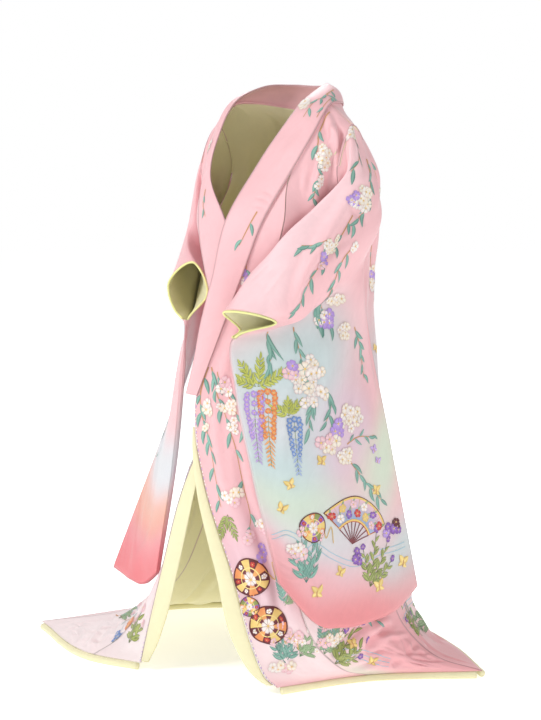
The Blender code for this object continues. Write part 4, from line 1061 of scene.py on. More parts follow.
# Places are thousandths (across, down) of the piece, sizes millimetres, angles degrees.
MOTIFS: dict[str, tuple] = {
    "collar_left": (
        Posy((812, 248), (10, 8), 4, 17, "wc"), Bough((500, 176, 375, 229, 500, 262, 500, 286), 5, 28),
        Bough((375, 210, 125, 252, 125, 286), 4, 26), Bough((250, 538, 312, 586, 375, 619), 2, 28),
    ),
    "collar_right": (
        Posy((188, 371), (6, 12), 3, 11, "wc"), Bough((438, 481, 250, 529, 312, 552), 2, 24),
    ),
    "front_left": (
        Bough((172, 28, 141, 69, 266, 110, 562, 145), 4, 34), Posy((578, 134), (16, 26), 8, 13, "wc"),
        Posy((609, 190), (10, 12), 3, 11, "w"), Bough((609, 155, 562, 186, 469, 228), 5, 30),
        Posy((438, 828), (40, 12), 6, 14, "bwc"), Herb((0, 886), 80, 24, Hue.BLUSH, Hue.SAGE),
        Herb((0, 914), 100, 62, Hue.VIOLET, Hue.OLIVE), Posy((156, 859), (30, 14), 6, 13, "wbc"),
        Frond((47, 879), 62, 160, Hue.TEAL), Frond((47, 879), 56, -165, Hue.TEAL),
        Bough((453, 814, 578, 828, 703, 841), 3, 30), Posy((547, 821), (12, 8), 3, 11, "rc"),
        Butterfly((344, 924), 18, 20), Butterfly((328, 872), 16, -20),
        Bough((550, 420, 500, 520, 560, 620, 520, 700), 11, 36), Posy((540, 560), (26, 30), 9, 13, "wcl"),
        Posy((500, 740), (26, 22), 7, 13, "wb"), Stream((50, 900, 300, 880, 550, 920), 3, 12),
    ),
    "okumi_left": (
        Bough((0, 188, 94, 200, 406, 221), 4, 36), Posy((0, 208), (8, 12), 3, 13, "lw"),
        Bough((31, 383, 62, 412, 156, 471, 250, 521, 250, 575, 219, 612), 12, 38),
        Bough((94, 383, 438, 425, 594, 475, 688, 529, 719, 600, 594, 642), 12, 38),
        Bough((250, 388, 625, 425, 844, 488, 938, 533), 7, 36), Posy((469, 404), (18, 14), 4, 16, "bw"),
        Posy((219, 438), (14, 12), 4, 13, "wc"), Posy((562, 433), (22, 12), 6, 13, "wc"),
        Posy((656, 467), (13, 16), 4, 12, "w"), Posy((188, 475), (5, 8), 2, 9, "c"),
        Posy((500, 596), (22, 18), 6, 15, "bwc"), Posy((906, 633), (18, 12), 5, 13, "wb"),
        Posy((562, 650), (12, 10), 3, 15, "bb"), Posy((656, 671), (8, 16), 3, 14, "l"),
        Frond((312, 621), 60, 24, Hue.OLIVE), Frond((312, 621), 50, -22, Hue.OLIVE),
        Ball((312, 708), 44, -30, True), Ball((375, 792), 46, 20, True), Ball((156, 758), 24, 40),
        Frond((750, 750), 60, 170, Hue.TEAL), Frond((750, 754), 55, -140, Hue.SAGE),
        Herb((375, 879), 75, 14, Hue.BLUSH, Hue.TEAL), Herb((625, 867), 65, 40, Hue.WHITE, Hue.SAGE),
        Posy((281, 896), (26, 10), 6, 13, "bwc"), Posy((750, 821), (20, 14), 5, 12, "bw"),
    ),
    "sleeve_left": (
        Bough((510, 0, 487, 67, 487, 150, 500, 233), 5, 32), Posy((503, 50), (10, 16), 5, 12, "wc"),
        Bough((462, 100, 455, 200, 439, 292, 429, 367), 9, 34), Posy((452, 258), (16, 26), 8, 13, "wc"),
        Posy((458, 300), (14, 16), 5, 14, "lw"),
        Bough((442, 342, 420, 433, 410, 567, 410, 717, 420, 858), 11, 36),
        Posy((420, 492), (24, 12), 8, 11, "wc"), Posy((426, 442), (6, 8), 2, 9, "c"),
        Posy((410, 558), (10, 14), 3, 12, "lb"), Bough((433, 483, 442, 550, 462, 608), 5, 36),
        Posy((391, 375), (8, 10), 2, 12, "w"), Bough((388, 392, 365, 517, 337, 642, 272, 500), 10, 36),
        Posy((298, 467), (20, 10), 6, 12, "wc"), Posy((285, 542), (18, 16), 6, 15, "wl"),
        Posy((266, 408), (14, 20), 6, 12, "wc"), Bough((269, 308, 244, 258, 218, 233), 7, 32),
        Bough((295, 733, 279, 725, 263, 725, 244, 708), 7, 40),
        Bough((311, 875, 282, 850, 266, 875), 6, 36), Posy((240, 692), (42, 54), 17, 16, "wcw"),
        Posy((260, 783), (18, 14), 4, 17, "lb"), Bough((224, 667, 212, 708, 196, 725), 6, 38),
        Bough((228, 608, 212, 567, 196, 617), 6, 36), Posy((189, 400), (30, 32), 10, 15, "wc"),
        Posy((186, 533), (14, 14), 4, 17, "l"), Posy((176, 608), (24, 18), 6, 16, "bc"),
        Posy((157, 492), (16, 20), 6, 13, "wc"), Bough((151, 450, 135, 375, 122, 300, 103, 208), 9, 34),
        Bough((167, 458, 170, 342, 163, 200), 6, 26), Frond((250, 933), 62, 112),
        Frond((250, 933), 56, 150), Frond((250, 925), 56, -168), Frond((250, 925), 64, -110),
        Raceme((244, 942), 165, 52, Hue.LILAC), Raceme((247, 892), 180, 50, Hue.ORANGE),
        Frond((218, 817), 36, 120), Frond((218, 817), 36, -130), Frond((218, 817), 30, 180),
        Raceme((215, 792), 130, 42, Hue.BLUE), Fan((77, 517), 108, 16), Ball((103, 767), 34, 10),
        Stream((67, 983, 93, 892, 90, 833, 74, 800), 2, 10),
        Stream((61, 892, 87, 783, 74, 675, 61, 533, 61, 250, 45, 50), 2, 12),
        Posy((74, 867), (20, 14), 5, 14, "wb"), Herb((42, 858), 110, 12, Hue.BLUSH, Hue.TEAL),
        Herb((32, 417), 130, 30, Hue.VIOLET, Hue.OLIVE), Posy((64, 492), (12, 16), 4, 12, "v"),
        Posy((67, 108), (16, 12), 4, 13, "nv"), Posy((74, 200), (10, 10), 3, 12, "vl"),
        Butterfly((163, 667), 18, 10), Butterfly((147, 850), 18, -20), Butterfly((115, 908), 18, 30),
        Butterfly((151, 217), 14, -30, Hue.LILAC), Butterfly((138, 192), 12, 20, Hue.LILAC),
        Butterfly((115, 250), 18, 15), Butterfly((32, 100), 22, 15), Butterfly((29, 342), 22, -10),
        Butterfly((35, 808), 22, 0), Butterfly((54, 642), 18, 25),
        Bough((840, 200, 900, 350, 940, 500), 8, 36), Posy((900, 450), (40, 40), 11, 14, "wl"),
    ),
    "back_left": (
        Bough((820, 110, 700, 170, 600, 270, 560, 380), 9, 34),
        Bough((440, 90, 360, 150, 300, 240), 6, 34), Posy((620, 240), (34, 30), 16, 12, "wcw"),
        Posy((340, 160), (22, 22), 9, 12, "wl"), Posy((560, 360), (28, 26), 11, 12, "wcl"),
        Bough((520, 380, 400, 480, 340, 580), 8, 34), Posy((360, 550), (30, 30), 12, 12, "wb"),
        Frond((220, 400), 60, 120), Frond((220, 400), 56, -150), Frond((220, 400), 58, -95),
        Raceme((180, 405), 150, 36, Hue.LILAC), Raceme((260, 405), 130, 36, Hue.BLUE),
        Bough((840, 400, 780, 520, 740, 620), 7, 32), Posy((780, 580), (24, 24), 9, 12, "wl"),
        Fan((420, 800), 90, -18), Ball((700, 780), 36, 15), Herb((220, 900), 110, 8),
        Herb((600, 910), 120, -10, Hue.BLUSH, Hue.SAGE), Herb((840, 900), 100, 12),
        Stream((50, 840, 300, 870, 550, 840, 950, 870), 3, 14), Butterfly((600, 480), 17, 20),
        Butterfly((150, 680), 17, -20), Butterfly((800, 700), 16, 0),
    ),
    "back_right": (
        Bough((800, 110, 720, 170, 660, 280, 580, 380), 9, 34), Posy((700, 200), (30, 28), 14, 12, "wc"),
        Posy((620, 340), (26, 26), 10, 12, "wl"), Bough((300, 240, 240, 360, 280, 480), 8, 34),
        Posy((250, 380), (30, 30), 13, 12, "wcb"), Bough((600, 420, 520, 540, 500, 660), 8, 34),
        Posy((520, 600), (28, 28), 12, 12, "wlc"), Frond((780, 500), 56, 110), Frond((780, 500), 54, -140),
        Raceme((760, 505), 140, 34, Hue.ORANGE), Raceme((840, 505), 120, 34, Hue.LILAC),
        Ball((300, 780), 44, 0), Ball((420, 830), 30, 40), Herb((160, 900), 100, 8),
        Herb((580, 900), 110, -12), Herb((800, 920), 100, 0, Hue.BLUSH, Hue.SAGE),
        Stream((50, 870, 350, 840, 650, 870, 950, 850), 3, 14), Butterfly((400, 700), 17, 15),
        Butterfly((700, 760), 17, -25),
    ),
    "front_right": (
        Posy((0, 900), (22, 14), 5, 14, "o"), Posy((0, 931), (30, 14), 7, 13, "u"),
        Frond((0, 928), 60, -10, Hue.OLIVE), Bough((812, 938, 438, 914, 31, 883), 3, 26),
        Herb((600, 930), 90, 6, Hue.BLUSH, Hue.SAGE), Stream((100, 920, 450, 900, 900, 930), 2, 14),
        Bough((400, 400, 440, 520, 400, 620), 7, 32), Posy((420, 560), (24, 24), 9, 12, "wc"),
    ),
    "okumi_right": (
        Bough((500, 400, 450, 520, 520, 640), 6, 30), Posy((480, 580), (18, 20), 7, 11, "wl"),
        Herb((500, 920), 80, 0, Hue.BLUSH, Hue.OLIVE),
    ),
    "sleeve_right": (
        Bough((220, 160, 160, 240, 120, 200), 6, 34), Posy((170, 220), (22, 24), 8, 12, "wl"),
    ),
}


def feed(tree: bpy.types.NodeTree, node: bpy.types.Node, inputs: dict) -> bpy.types.Node:
    """Feed a node's inputs, by name or number, with sockets or values, and return it.

    Args:
        tree: the node's tree.
        node: the node.
        inputs: what feeds each input.

    Returns:
        The node.
    """
    for key, value in inputs.items():
        if isinstance(value, bpy.types.NodeSocket):
            tree.links.new(value, node.inputs[key])
        else:
            node.inputs[key].default_value = value
    return node


def add_node(tree: bpy.types.NodeTree, kind: str, inputs: dict, **settings: object) -> bpy.types.Node:
    """Add a node with its inputs fed.

    Args:
        tree: the tree to add to.
        kind: Blender's name of the node, without its prefix.
        inputs: what feeds each input.
        settings: the node's own properties.

    Returns:
        The node.
    """
    node = tree.nodes.new("ShaderNode" + kind)
    for name, value in settings.items():
        setattr(node, name, value)
    return feed(tree, node, inputs)


def math_node(tree: bpy.types.NodeTree, operation: str, *values: object) -> bpy.types.NodeSocket:
    """Return the output of a new math node fed by sockets or numbers."""
    return add_node(tree, "Math", dict(enumerate(values)), operation=operation).outputs[0]


def new_group(name: str, inputs: dict[str, float], outputs: tuple[str, ...]) -> bpy.types.NodeTree:
    """Start a shader node group with float inputs and outputs.

    Args:
        name: the group's name.
        inputs: each input with its usual value.
        outputs: the outputs' names.

    Returns:
        The node tree, with its Group Input and Group Output nodes.
    """
    tree = bpy.data.node_groups.new(name, "ShaderNodeTree")
    for label, value in inputs.items():
        tree.interface.new_socket(label, in_out="INPUT", socket_type="NodeSocketFloat").default_value = value
    for label in outputs:
        tree.interface.new_socket(label, in_out="OUTPUT", socket_type="NodeSocketFloat")
    tree.nodes.new("NodeGroupInput")
    tree.nodes.new("NodeGroupOutput")
    return tree


def weave_group() -> bpy.types.NodeTree:
    """Build the weave: fine crossed threads and soft figured ground, on the cloth's own flat measure.

    Returns:
        The group.
    """
    tree = new_group("silk_weave", {"Threads": 900.0, "Figure": 38.0}, ("Height", "Tone"))
    source = tree.nodes["Group Input"].outputs
    flat = add_node(tree, "UVMap", {}, uv_map="flat").outputs["UV"]
    threads = [add_node(tree, "TexWave", {"Distortion": 0.6, "Vector": flat, "Scale": source["Threads"]},
                        bands_direction=direction).outputs["Fac"] for direction in "XY"]
    figure = add_node(tree, "TexNoise",
                      {"Detail": 3.0, "Distortion": 1.2, "Vector": flat, "Scale": source["Figure"]})
    feed(tree, tree.nodes["Group Output"],
         {"Height": math_node(tree, "MULTIPLY", *threads), "Tone": figure.outputs["Fac"]})
    return tree


def crumple_group() -> bpy.types.NodeTree:
    """Build the small unevenness of hanging cloth: long soft ripples, a hand's width and less.

    Returns:
        The group.
    """
    tree = new_group("cloth_crumple", {"Size": 9.0}, ("Height",))
    flat = add_node(tree, "UVMap", {}, uv_map="flat").outputs["UV"]
    stretch = add_node(tree, "Mapping", {"Scale": (1.0, 0.45, 1.0), "Vector": flat}).outputs["Vector"]
    ripple = add_node(tree, "TexNoise", {"Detail": 4.0, "Roughness": 0.45, "Vector": stretch,
                                         "Scale": tree.nodes["Group Input"].outputs["Size"]})
    feed(tree, tree.nodes["Group Output"], {"Height": ripple.outputs["Fac"]})
    return tree


@dataclass(frozen=True)
class ClothFinish:
    """A cloth's finish: how it shines, how strong its weave is and how uneven it lies."""

    name: str
    roughness: float = 0.42
    sheen: float = 0.35
    specular: float = 0.45
    threads: float = 900.0
    weave_height: float = 0.00008
    ripple_height: float = 0.0035
    tone: float = 0.05

    def material(self) -> bpy.types.Material:
        """Build the Principled material that reads the piece's colour attribute, which holds the dyed colour
        and, on the walls, painted shade and painted highlights.

        Returns:
            The material.
        """
        material = bpy.data.materials.new(self.name)
        material.use_nodes = True
        tree = material.node_tree
        weave = add_node(tree, "Group", {"Threads": self.threads},
                         node_tree=bpy.data.node_groups.get("silk_weave") or weave_group()).outputs
        crumple = add_node(tree, "Group", {},
                           node_tree=bpy.data.node_groups.get("cloth_crumple") or crumple_group()).outputs
        # Painted light: this colour attribute carries painted seam shade and painted highlights along with
        # the dyed colour.
        dye = add_node(tree, "VertexColor", {}, layer_name="dye")
        tone = math_node(tree, "MULTIPLY_ADD", weave["Tone"], self.tone * 2, 1.0 - self.tone)
        shade = add_node(tree, "Mix", {"Factor": 1.0, "A": dye.outputs["Color"], "B": tone},
                         data_type="RGBA", blend_type="MULTIPLY")
        ripples = add_node(tree, "Bump", {"Distance": self.ripple_height, "Strength": 1.0,
                                          "Height": crumple["Height"]})
        threads = add_node(tree, "Bump", {"Distance": self.weave_height, "Strength": 1.0,
                                          "Height": weave["Height"], "Normal": ripples.outputs["Normal"]})
        feed(tree, tree.nodes["Principled BSDF"], {
            "Sheen Weight": self.sheen, "Sheen Roughness": 0.35, "Specular IOR Level": self.specular,
            "Base Color": shade.outputs["Result"], "Normal": threads.outputs["Normal"],
            "Roughness": math_node(tree, "MULTIPLY_ADD", weave["Tone"], 0.12, self.roughness - 0.06)})
        return material


def colour_mesh(mesh: bpy.types.Mesh, colours: Grid) -> None:
    """Store one linear colour a vertex as the mesh's colour attribute, which carries dyed colour and, on the
    silk walls, painted light.
    """
    layer = mesh.color_attributes.new("dye", "FLOAT_COLOR", "POINT")
    layer.data.foreach_set("color", np.hstack((colours, np.ones((len(colours), 1)))).ravel())


def flat_map(mesh: bpy.types.Mesh, flat: Grid) -> None:
    """Store the cloth's flat measure as the mesh's UV map.

    Args:
        mesh: the mesh.
        flat: each point's place in the flat cloth.
    """
    layer = mesh.uv_layers.new(name="flat")
    corners = np.empty(len(mesh.loops), np.int32)
    mesh.loops.foreach_get("vertex_index", corners)
    layer.data.foreach_set("uv", flat[corners].ravel())


def new_mesh(name: str, points: Grid, faces: Faces, *materials: bpy.types.Material) -> bpy.types.Mesh:
    """Make a mesh of points above the floor, moved to the shared origin.

    Args:
        name: the mesh's name.
        points: its points.
        faces: its faces.
        materials: its materials.

    Returns:
        The mesh.
    """
    mesh = bpy.data.meshes.new(name)
    mesh.from_pydata((points.reshape(-1, 3) - (0.0, 0.0, SHOULDER_REST)).tolist(), [], faces)
    for material in materials:
        mesh.materials.append(material)
    return mesh


def placed(mesh: bpy.types.Mesh) -> bpy.types.Object:
    """Put a mesh in the scene as the selected object.

    Args:
        mesh: the mesh.

    Returns:
        The object.
    """
    piece = bpy.data.objects.new(mesh.name, mesh)
    bpy.context.scene.collection.objects.link(piece)
    bpy.ops.object.select_all(action="DESELECT")
    bpy.context.view_layer.objects.active = piece
    piece.select_set(True)
    return piece


def wall_mesh(surface: ClothSurface, faces: Faces, inside: Place,
              *materials: bpy.types.Material) -> bpy.types.Object:
    """Make a cloth wall: the face outside, the lining inside, and a turned edge between.

    Args:
        surface: the middle of the wall.
        faces: its faces, pointing outwards.
        inside: the lining's colour.
        materials: the face's material and the lining's.

    Returns:
        The object.
    """
    # The face takes the ground and clouds of the cloud table: dyed shading, with painted highlights where
    # marked.
    colours, back = surface.dye(PINK, DYES_AND_PAINTED_LIGHT.get(surface.name, ())), surface.dye(inside)
    # Painted shade: the face's seam edges are painted darker for the shadow in the seam's gap, and the
    # lining's edges take the same colours.
    edge = (slice(0, 1),) if surface.wrap else (slice(None), [0, -1])
    colours[edge] *= SEAM_PAINTED_SHADE
    back[edge] = colours[edge]
    mesh = new_mesh("silk_" + surface.name, surface.grid, faces, *materials)
    mesh.validate()
    flat_map(mesh, surface.flat.reshape(-1, 2))
    piece = placed(mesh)
    shell = piece.modifiers.new("wall", "SOLIDIFY")
    shell.thickness = surface.wall
    shell.offset = 0.0
    shell.material_offset = 1
    shell.material_offset_rim = 0
    bpy.ops.object.modifier_apply(modifier="wall")
    colour_mesh(piece.data, np.vstack((colours.reshape(-1, 3), back.reshape(-1, 3))))
    piece.data.shade_smooth()
    return piece


def swell(line: Grid, height: float, length: float, drift: float = 0.0) -> np.ndarray:
    """Return how full a padded roll is along its line.

    Args:
        line: its line.
        height: how much it swells, as a share.
        length: from one swelling to the next.
        drift: how unevenly they follow each other.

    Returns:
        The fullness at each point, 1 for even.
    """
    run = chord_knots(line)
    return 1.0 + height * np.sin(run * 2 * math.pi / length + np.sin(run * drift))


def tube(name: str, line: Grid, across: Grid, up: Grid, sizes: tuple, sides: int, colour: Place,
         material: bpy.types.Material) -> bpy.types.Object:
    """Make a closed padded roll round a line.

    Args:
        name: the new object's name.
        line: the middle of the roll.
        across: the unit direction of its breadth, one or one for each place.
        up: the unit direction of its depth, likewise.
        sizes: half its breadth and half its depth, likewise.
        sides: the faces round it.
        colour: its colour, mixed from 0 to 255.
        material: its material.

    Returns:
        The object.
    """
    turns = np.linspace(0.0, 2 * math.pi, sides, endpoint=False)
    rows = len(line)
    breadths, depths = (np.broadcast_to(size, rows)[:, None] for size in sizes)
    across, up = (np.broadcast_to(way, line.shape)[:, None, :] for way in (across, up))
    grid = (line[:, None, :] + across * (breadths * np.cos(turns))[..., None]
            + up * (depths * np.sin(turns))[..., None])
    ends = (line[0] + (line[0] - line[1]) * 0.2, line[-1] + (line[-1] - line[-2]) * 0.2)
    faces = grid_faces(rows, sides, flip=False, wrap=True)
    first, last = rows * sides, rows * sides + 1
    for side in range(sides):
        after = (side + 1) % sides
        faces += [(first, after, side), (last, (rows - 1) * sides + side, (rows - 1) * sides + after)]
    mesh = new_mesh(name, np.vstack((grid.reshape(-1, 3), *ends)), faces, material)
    mesh.validate()
    girth = turns * float(np.mean(breadths + depths)) / 2
    flat = np.stack(np.broadcast_arrays(girth, chord_knots(line)[:, None]), axis=2).reshape(-1, 2)
    flat_map(mesh, np.vstack((flat, flat[0], flat[-1])))
    colour_mesh(mesh, np.tile(linear(colour), (rows * sides + 2, 1)))
    piece = placed(mesh)
    bpy.ops.object.mode_set(mode="EDIT")
    bpy.ops.mesh.select_all(action="SELECT")
    bpy.ops.mesh.normals_make_consistent(inside=False)
    bpy.ops.object.mode_set(mode="OBJECT")
    piece.data.shade_smooth()
    return piece


def declare(piece: bpy.types.Object, node: str) -> None:
    """Let a piece ride on the body and stand for its solid.

    Args:
        piece: the piece.
        node: the solid.
    """
    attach(piece, "root")
    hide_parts(node)
    LOG.info("%s: %d faces", piece.name, len(piece.data.polygons))


def ray(angle: float) -> Grid:
    """Return the unit direction at an angle: 0 is to the right, 90 degrees down."""
    return np.array((math.cos(math.radians(angle)), math.sin(math.radians(angle))))


def turned(points: Grid, angle: float) -> Grid:
    """Turn points about the anchor by an angle in degrees."""
    cosine, sine = ray(angle)
    return points @ np.array(((cosine, sine), (-sine, cosine)))


class Needle:
    """Works motifs on one piece of cloth as thin raised stitching that follows its surface."""

    LIFT = 0.0006            # how far stitching lies above the silk
    LAYER = 0.00025          # and one layer of it above another
    GOLDEN_TURN = 2.399963
    SLIMNESS = 0.122         # half a leaf's breadth to its length
    SPIKE_ROW = 0.0108       # between the flowers of a raceme
    LEAFLETS_APART = 0.0085
    HERB_PAIRS_APART = 0.017
    NOTCH, ROUNDING = 0.13, 0.22     # how far a petal's tip and its sides draw in
    PETAL_ROWS = (0.12, 0.55, 0.88, 1.0)
    DASHES_APART = 0.007
    DASH = np.array(((0.0, 0.0), (0.0, 0.002), (0.0, 0.0042)))
    DASH_HALF = 0.0009
    NEAR = 3                 # cells on each side of a place that its slope is read over
    STEEP = 0.25             # below this a place faces up or down too much to have its own way down

    def __init__(self, surface: ClothSurface, seed: int) -> None:
        """Take up a piece of cloth.

        Args:
            surface: its surface.
            seed: the start of its own unevenness.
        """
        self.surface = surface
        self.normals = grid_normals(surface.grid) * surface.outward
        self.random = np.random.default_rng(seed)
        self.points: list[Grid] = []
        self.colours: list[Grid] = []
        self.faces: Faces = []
        self.count = 0

    def frame(self, place: Plan) -> tuple[np.ndarray, np.ndarray]:
        """Return a place (thousandths) as grid indices, and the matrix from metres to indices.

        Args:
            place: the place.

        Returns:
            The indices and the matrix.
        """
        grid, cells = self.surface.grid, self.surface.cells
        middle = np.array(place) * cells / 1000
        near = self.NEAR
        column, row = np.clip(np.round(middle).astype(int), near, cells - near)
        step_across = (grid[row, column + near] - grid[row, column - near]) / (2 * near)
        step_down = (grid[row + near, column] - grid[row - near, column]) / (2 * near)
        normal = self.normals[row, column]
        down = np.array((0.0, 0.0, -1.0)) - normal * -normal[2]
        if np.linalg.norm(down) < self.STEEP:
            down = step_down - normal * np.dot(step_down, normal)
        down = unit(down)
        right = np.cross(normal, down)
        steps = np.stack((step_across, step_down), axis=1)
        return middle, np.linalg.pinv(steps) @ np.stack((right, down), axis=1)

    def path(self, run: tuple[int, ...], count: int) -> Grid:
        """Return places along a smooth run, given as its numbers across and down in turn.

        Args:
            run: the run.
            count: how many places.

        Returns:
            The places.
        """
        places = np.reshape(run, (-1, 2))
        knots = chord_knots(places)
        return smooth(knots, places, np.linspace(0.0, knots[-1], count))

    def reach(self, place: Grid, step: Grid) -> Grid:
        """Return a step from a place, in thousandths, as metres right and down."""
        return np.linalg.solve(self.frame(place)[1], step * self.surface.cells / 1000)

    def add(self, place: Plan, offsets: Grid, faces: Faces, colours: Grid, layer: int = 0) -> None:
        """Work one patch.

        Args:
            place: its anchor.
            offsets: its points in metres, right and down of the anchor.
            faces: its faces.
            colours: its points' colours, 0 to 255.
            layer: which patches it lies over.
        """
        middle, matrix = self.frame(place)
        wanted = middle + offsets @ matrix.T
        held = np.clip(wanted, 0.02, self.surface.cells - 0.02)
        kept = np.abs(wanted - held).max(axis=1) < 0.5
        lift = self.surface.wall / 2 + self.LIFT + self.LAYER * layer
        self.points.append(between(self.surface.grid, held) + between(self.normals, held) * lift)
        self.colours.append(colours)
        self.faces += [tuple(self.count + index for index in face) for face in faces
                       if all(kept[index] for index in face)]
        self.count += len(offsets)

    def strip(self, place: Plan, middle: Grid, halves: np.ndarray, colours: tuple, layer: int = 0) -> None:
        """Work a strip along a line.

        Args:
            place: its anchor.
            middle: the line in metres from the anchor.
            halves: half its width at each point.
            colours: the colours of one rim, the middle and the other rim.
            layer: which patches it lies over.
        """
        side = unit(np.gradient(middle, axis=0)) @ np.array(((0.0, 1.0), (-1.0, 0.0))) * halves[:, None]
        points = np.concatenate((middle + side, middle, middle - side))
        shades = np.repeat(np.array(colours, float), len(middle), axis=0)
        self.add(place, points, grid_faces(3, len(middle), False), shades, layer)

    def line(self, place: Plan, middle: Grid, half: float, colour: Place, layer: int = 0) -> None:
        """Work a line of one colour and one breadth; half is half its breadth."""
        self.strip(place, middle, np.full(len(middle), half), (colour,) * 3, layer)

    def leaf(self, place: Plan, base: Grid, length: float, breadth: float, angle: float, hue: Hue,
             layer: int = 1) -> None:
        """Work one pointed leaf, lighter on one half.

        Args:
            place: its anchor.
            base: its stalk end in metres from the anchor.
            length: its length.
            breadth: half its breadth.
            angle: its direction in degrees.
            hue: its threads.
            layer: which patches it lies over.
        """
        share = np.linspace(0.0, 1.0, 7)
        bend = self.random.uniform(-0.12, 0.12) * length
        line = np.stack((share * length, bend * np.sin(math.pi * share)), axis=1)
        halves = breadth * np.sin(math.pi * share**0.8) ** 0.85 + 0.0003
        light, body, dark = np.array(hue.value, float) + self.random.uniform(-10, 10)
        self.strip(place, turned(line, angle) + base, halves, (body, light, dark), layer)

    def flower(self, place: Plan, base: Grid, size: float, hue: Hue, layer: int = 2, petals: int = 5) -> None:
        """Work one open flower of notched petals.

        Args:
            place: its anchor.
            base: its middle in metres from the anchor.
            size: its radius.
            hue: its threads.
            layer: which patches it lies over.
            petals: how many petals.
        """
        heart, body, rim = np.array(hue.value, float)
        turn = self.random.uniform(0.0, 360.0)
        squash = self.random.uniform(0.78, 1.0)
        lean = self.random.uniform(0.0, 360.0)
        ways = np.linspace(-1.0, 1.0, 6)
        shades = np.repeat((heart, body, body * 0.7 + rim * 0.3, rim), 6, axis=0)
        for petal in range(petals):
            reach = size * self.random.uniform(0.92, 1.06)
            outline = reach * (1.0 - self.NOTCH * np.exp(-(ways / 0.22) ** 2) - self.ROUNDING * ways**4)
            rows = []
            for share in self.PETAL_ROWS:
                spread = ways * math.pi / petals * 0.92 * (0.35 + 0.65 * min(1.0, share * 1.6))
                rows.append(np.stack((np.cos(spread), np.sin(spread)), axis=1) * (outline * share)[:, None])
            points = turned(np.concatenate(rows), turn + petal * 360.0 / petals)
            points = turned(turned(points, -lean) * (1.0, squash), lean) + base
            self.add(place, points, grid_faces(4, 6, True), shades, layer)
        dot = np.array([ray(angle) for angle in range(0, 360, 60)]) * size * 0.16 + base
        self.add(place, dot, [tuple(range(6))], np.tile(Hue.GOLD.value[1], (6, 1)), layer + 1)

    def bough(self, motif: Bough) -> None:
        """Work a branch with its leaves.

        Args:
            motif: the branch.
        """
        light, body, dark = Hue.BARK.value
        path = self.path(motif.run, max(8, len(motif.run) * 4))
        for number, (place, step) in enumerate(zip(path, np.diff(path, axis=0))):
            taper = motif.twig * MM * (1.0 - 0.55 * number / len(path))
            line = np.linspace(0.0, 1.06, 4)[:, None] * self.reach(place, step)
            self.strip(place, line, np.full(4, taper), (dark, light, body))
        for number in range(motif.leaves):
            nearest, share = divmod((number + 0.6) / motif.leaves * (len(path) - 1), 1)
            step = np.diff(path, axis=0)[int(nearest)]
            place = path[int(nearest)] + step * share
            right, down = self.reach(place, step)
            heading = math.degrees(math.atan2(down, right))
            angle = heading + (1 if number % 2 else -1) * self.random.uniform(18.0, 46.0)
            angle = angle + (90.0 - angle) * 0.35 if abs(90.0 - angle) < 120 else angle
            length = motif.leaf * MM * self.random.uniform(0.75, 1.1)
            self.leaf(place, np.zeros(2), length, length * self.SLIMNESS, angle, motif.hue)

    def posy(self, motif: Posy) -> None:
        """Work a crowd of blossoms.

        Args:
            motif: the blossoms.
        """
        for number in range(motif.count):
            share = math.sqrt((number + 0.4) / motif.count)
            turn = math.degrees(number * self.GOLDEN_TURN + self.random.uniform(-0.3, 0.3))
            base = ray(turn) * motif.reach * (share * MM)
            self.flower(motif.place, base, motif.size * MM * self.random.uniform(0.8, 1.15),
                        POSY_HUES[motif.hues[number % len(motif.hues)]], 2 + number % 3)

    def raceme(self, motif: Raceme) -> None:
        """Work a hanging flower spike, its flowers smaller to the tip.

        Args:
            motif: the spike.
        """
        length = motif.length * MM
        self.line(motif.place, np.linspace((0.0, 0.0), (0.0, length), 3), 0.0005, Hue.LIME.value[2])
        rows = int(length / self.SPIKE_ROW)
        for row in range(rows):
            share = row / rows
            half = motif.width * MM / 2 * (1.0 - 0.80 * share) * (0.8 if row == 0 else 1.0)
            down = 0.004 + share * length
            lanes = 0 if share > 0.62 else 3 - row % 2 if share < 0.3 else 2
            for lane in np.linspace(-1.0, 1.0, lanes):
                base = (lane * half * 0.72, down + abs(lane) * 0.003) + self.random.uniform(-0.001, 0.001, 2)
                size = 0.0084 * (1.0 - 0.4 * share)
                self.flower(motif.place, base, size, motif.hue, 2 + row % 2, petals=3)
            for side in (-1, 1) if share > 0.3 else ():
                self.leaf(motif.place, np.array((0.0, down)), half * 1.2 + 0.005, 0.0016,
                          90.0 - side * 40.0, motif.hue, 2)

    def frond(self, motif: Frond) -> None:
        """Work a pinnate leaf.

        Args:
            motif: the leaf.
        """
        way = 90.0 + motif.angle
        length = motif.size * MM
        tip = ray(way) * length
        self.line(motif.place, np.linspace((0.0, 0.0), tip, 6), 0.0006, motif.hue.value[2])
        pairs = max(4, int(length / self.LEAFLETS_APART))
        for pair in range(pairs):
            along = (pair + 0.7) / (pairs + 0.3)
            size = 0.019 * (0.55 + 0.45 * math.sin(math.pi * (0.25 + 0.7 * along)))
            for side in (-1, 1):
                self.leaf(motif.place, tip * along, size, size * 0.17, way + side * 42.0, motif.hue)
        self.leaf(motif.place, tip, 0.016, 0.0028, way, motif.hue)

    def herb(self, motif: Herb) -> None:
        """Work a standing plant: stems, paired leaves and flowers.

        Args:
            motif: the plant.
        """
        for stem, (lean, share) in enumerate(((-40.0, 0.72), (-17.0, 1.0), (6.0, 0.86), (30.0, 0.66))):
            height = motif.size * MM * share
            way = -90.0 + motif.angle + lean
            tip = ray(way) * height
            self.line(motif.place, np.linspace((0.0, 0.0), tip, 6), 0.0008, motif.leaf.value[2])
            pairs = int(height / self.HERB_PAIRS_APART)
            for pair in range(pairs):
                along = (pair + 0.9) / (pairs + 0.9)
                side = 1 if (pair + stem) % 2 else -1
                size = 0.030 * (1.0 - 0.4 * along)
                for foot, share, slim, turn in ((0.9, 1.0, 0.16, 38.0), (0.84, 0.8, 0.13, -44.0)):
                    self.leaf(motif.place, tip * along * foot, size * share, size * slim, way + side * turn,
                              motif.leaf)
            self.flower(motif.place, tip * 1.03, 0.0115 if stem == 1 else 0.0085, motif.bloom, 3)

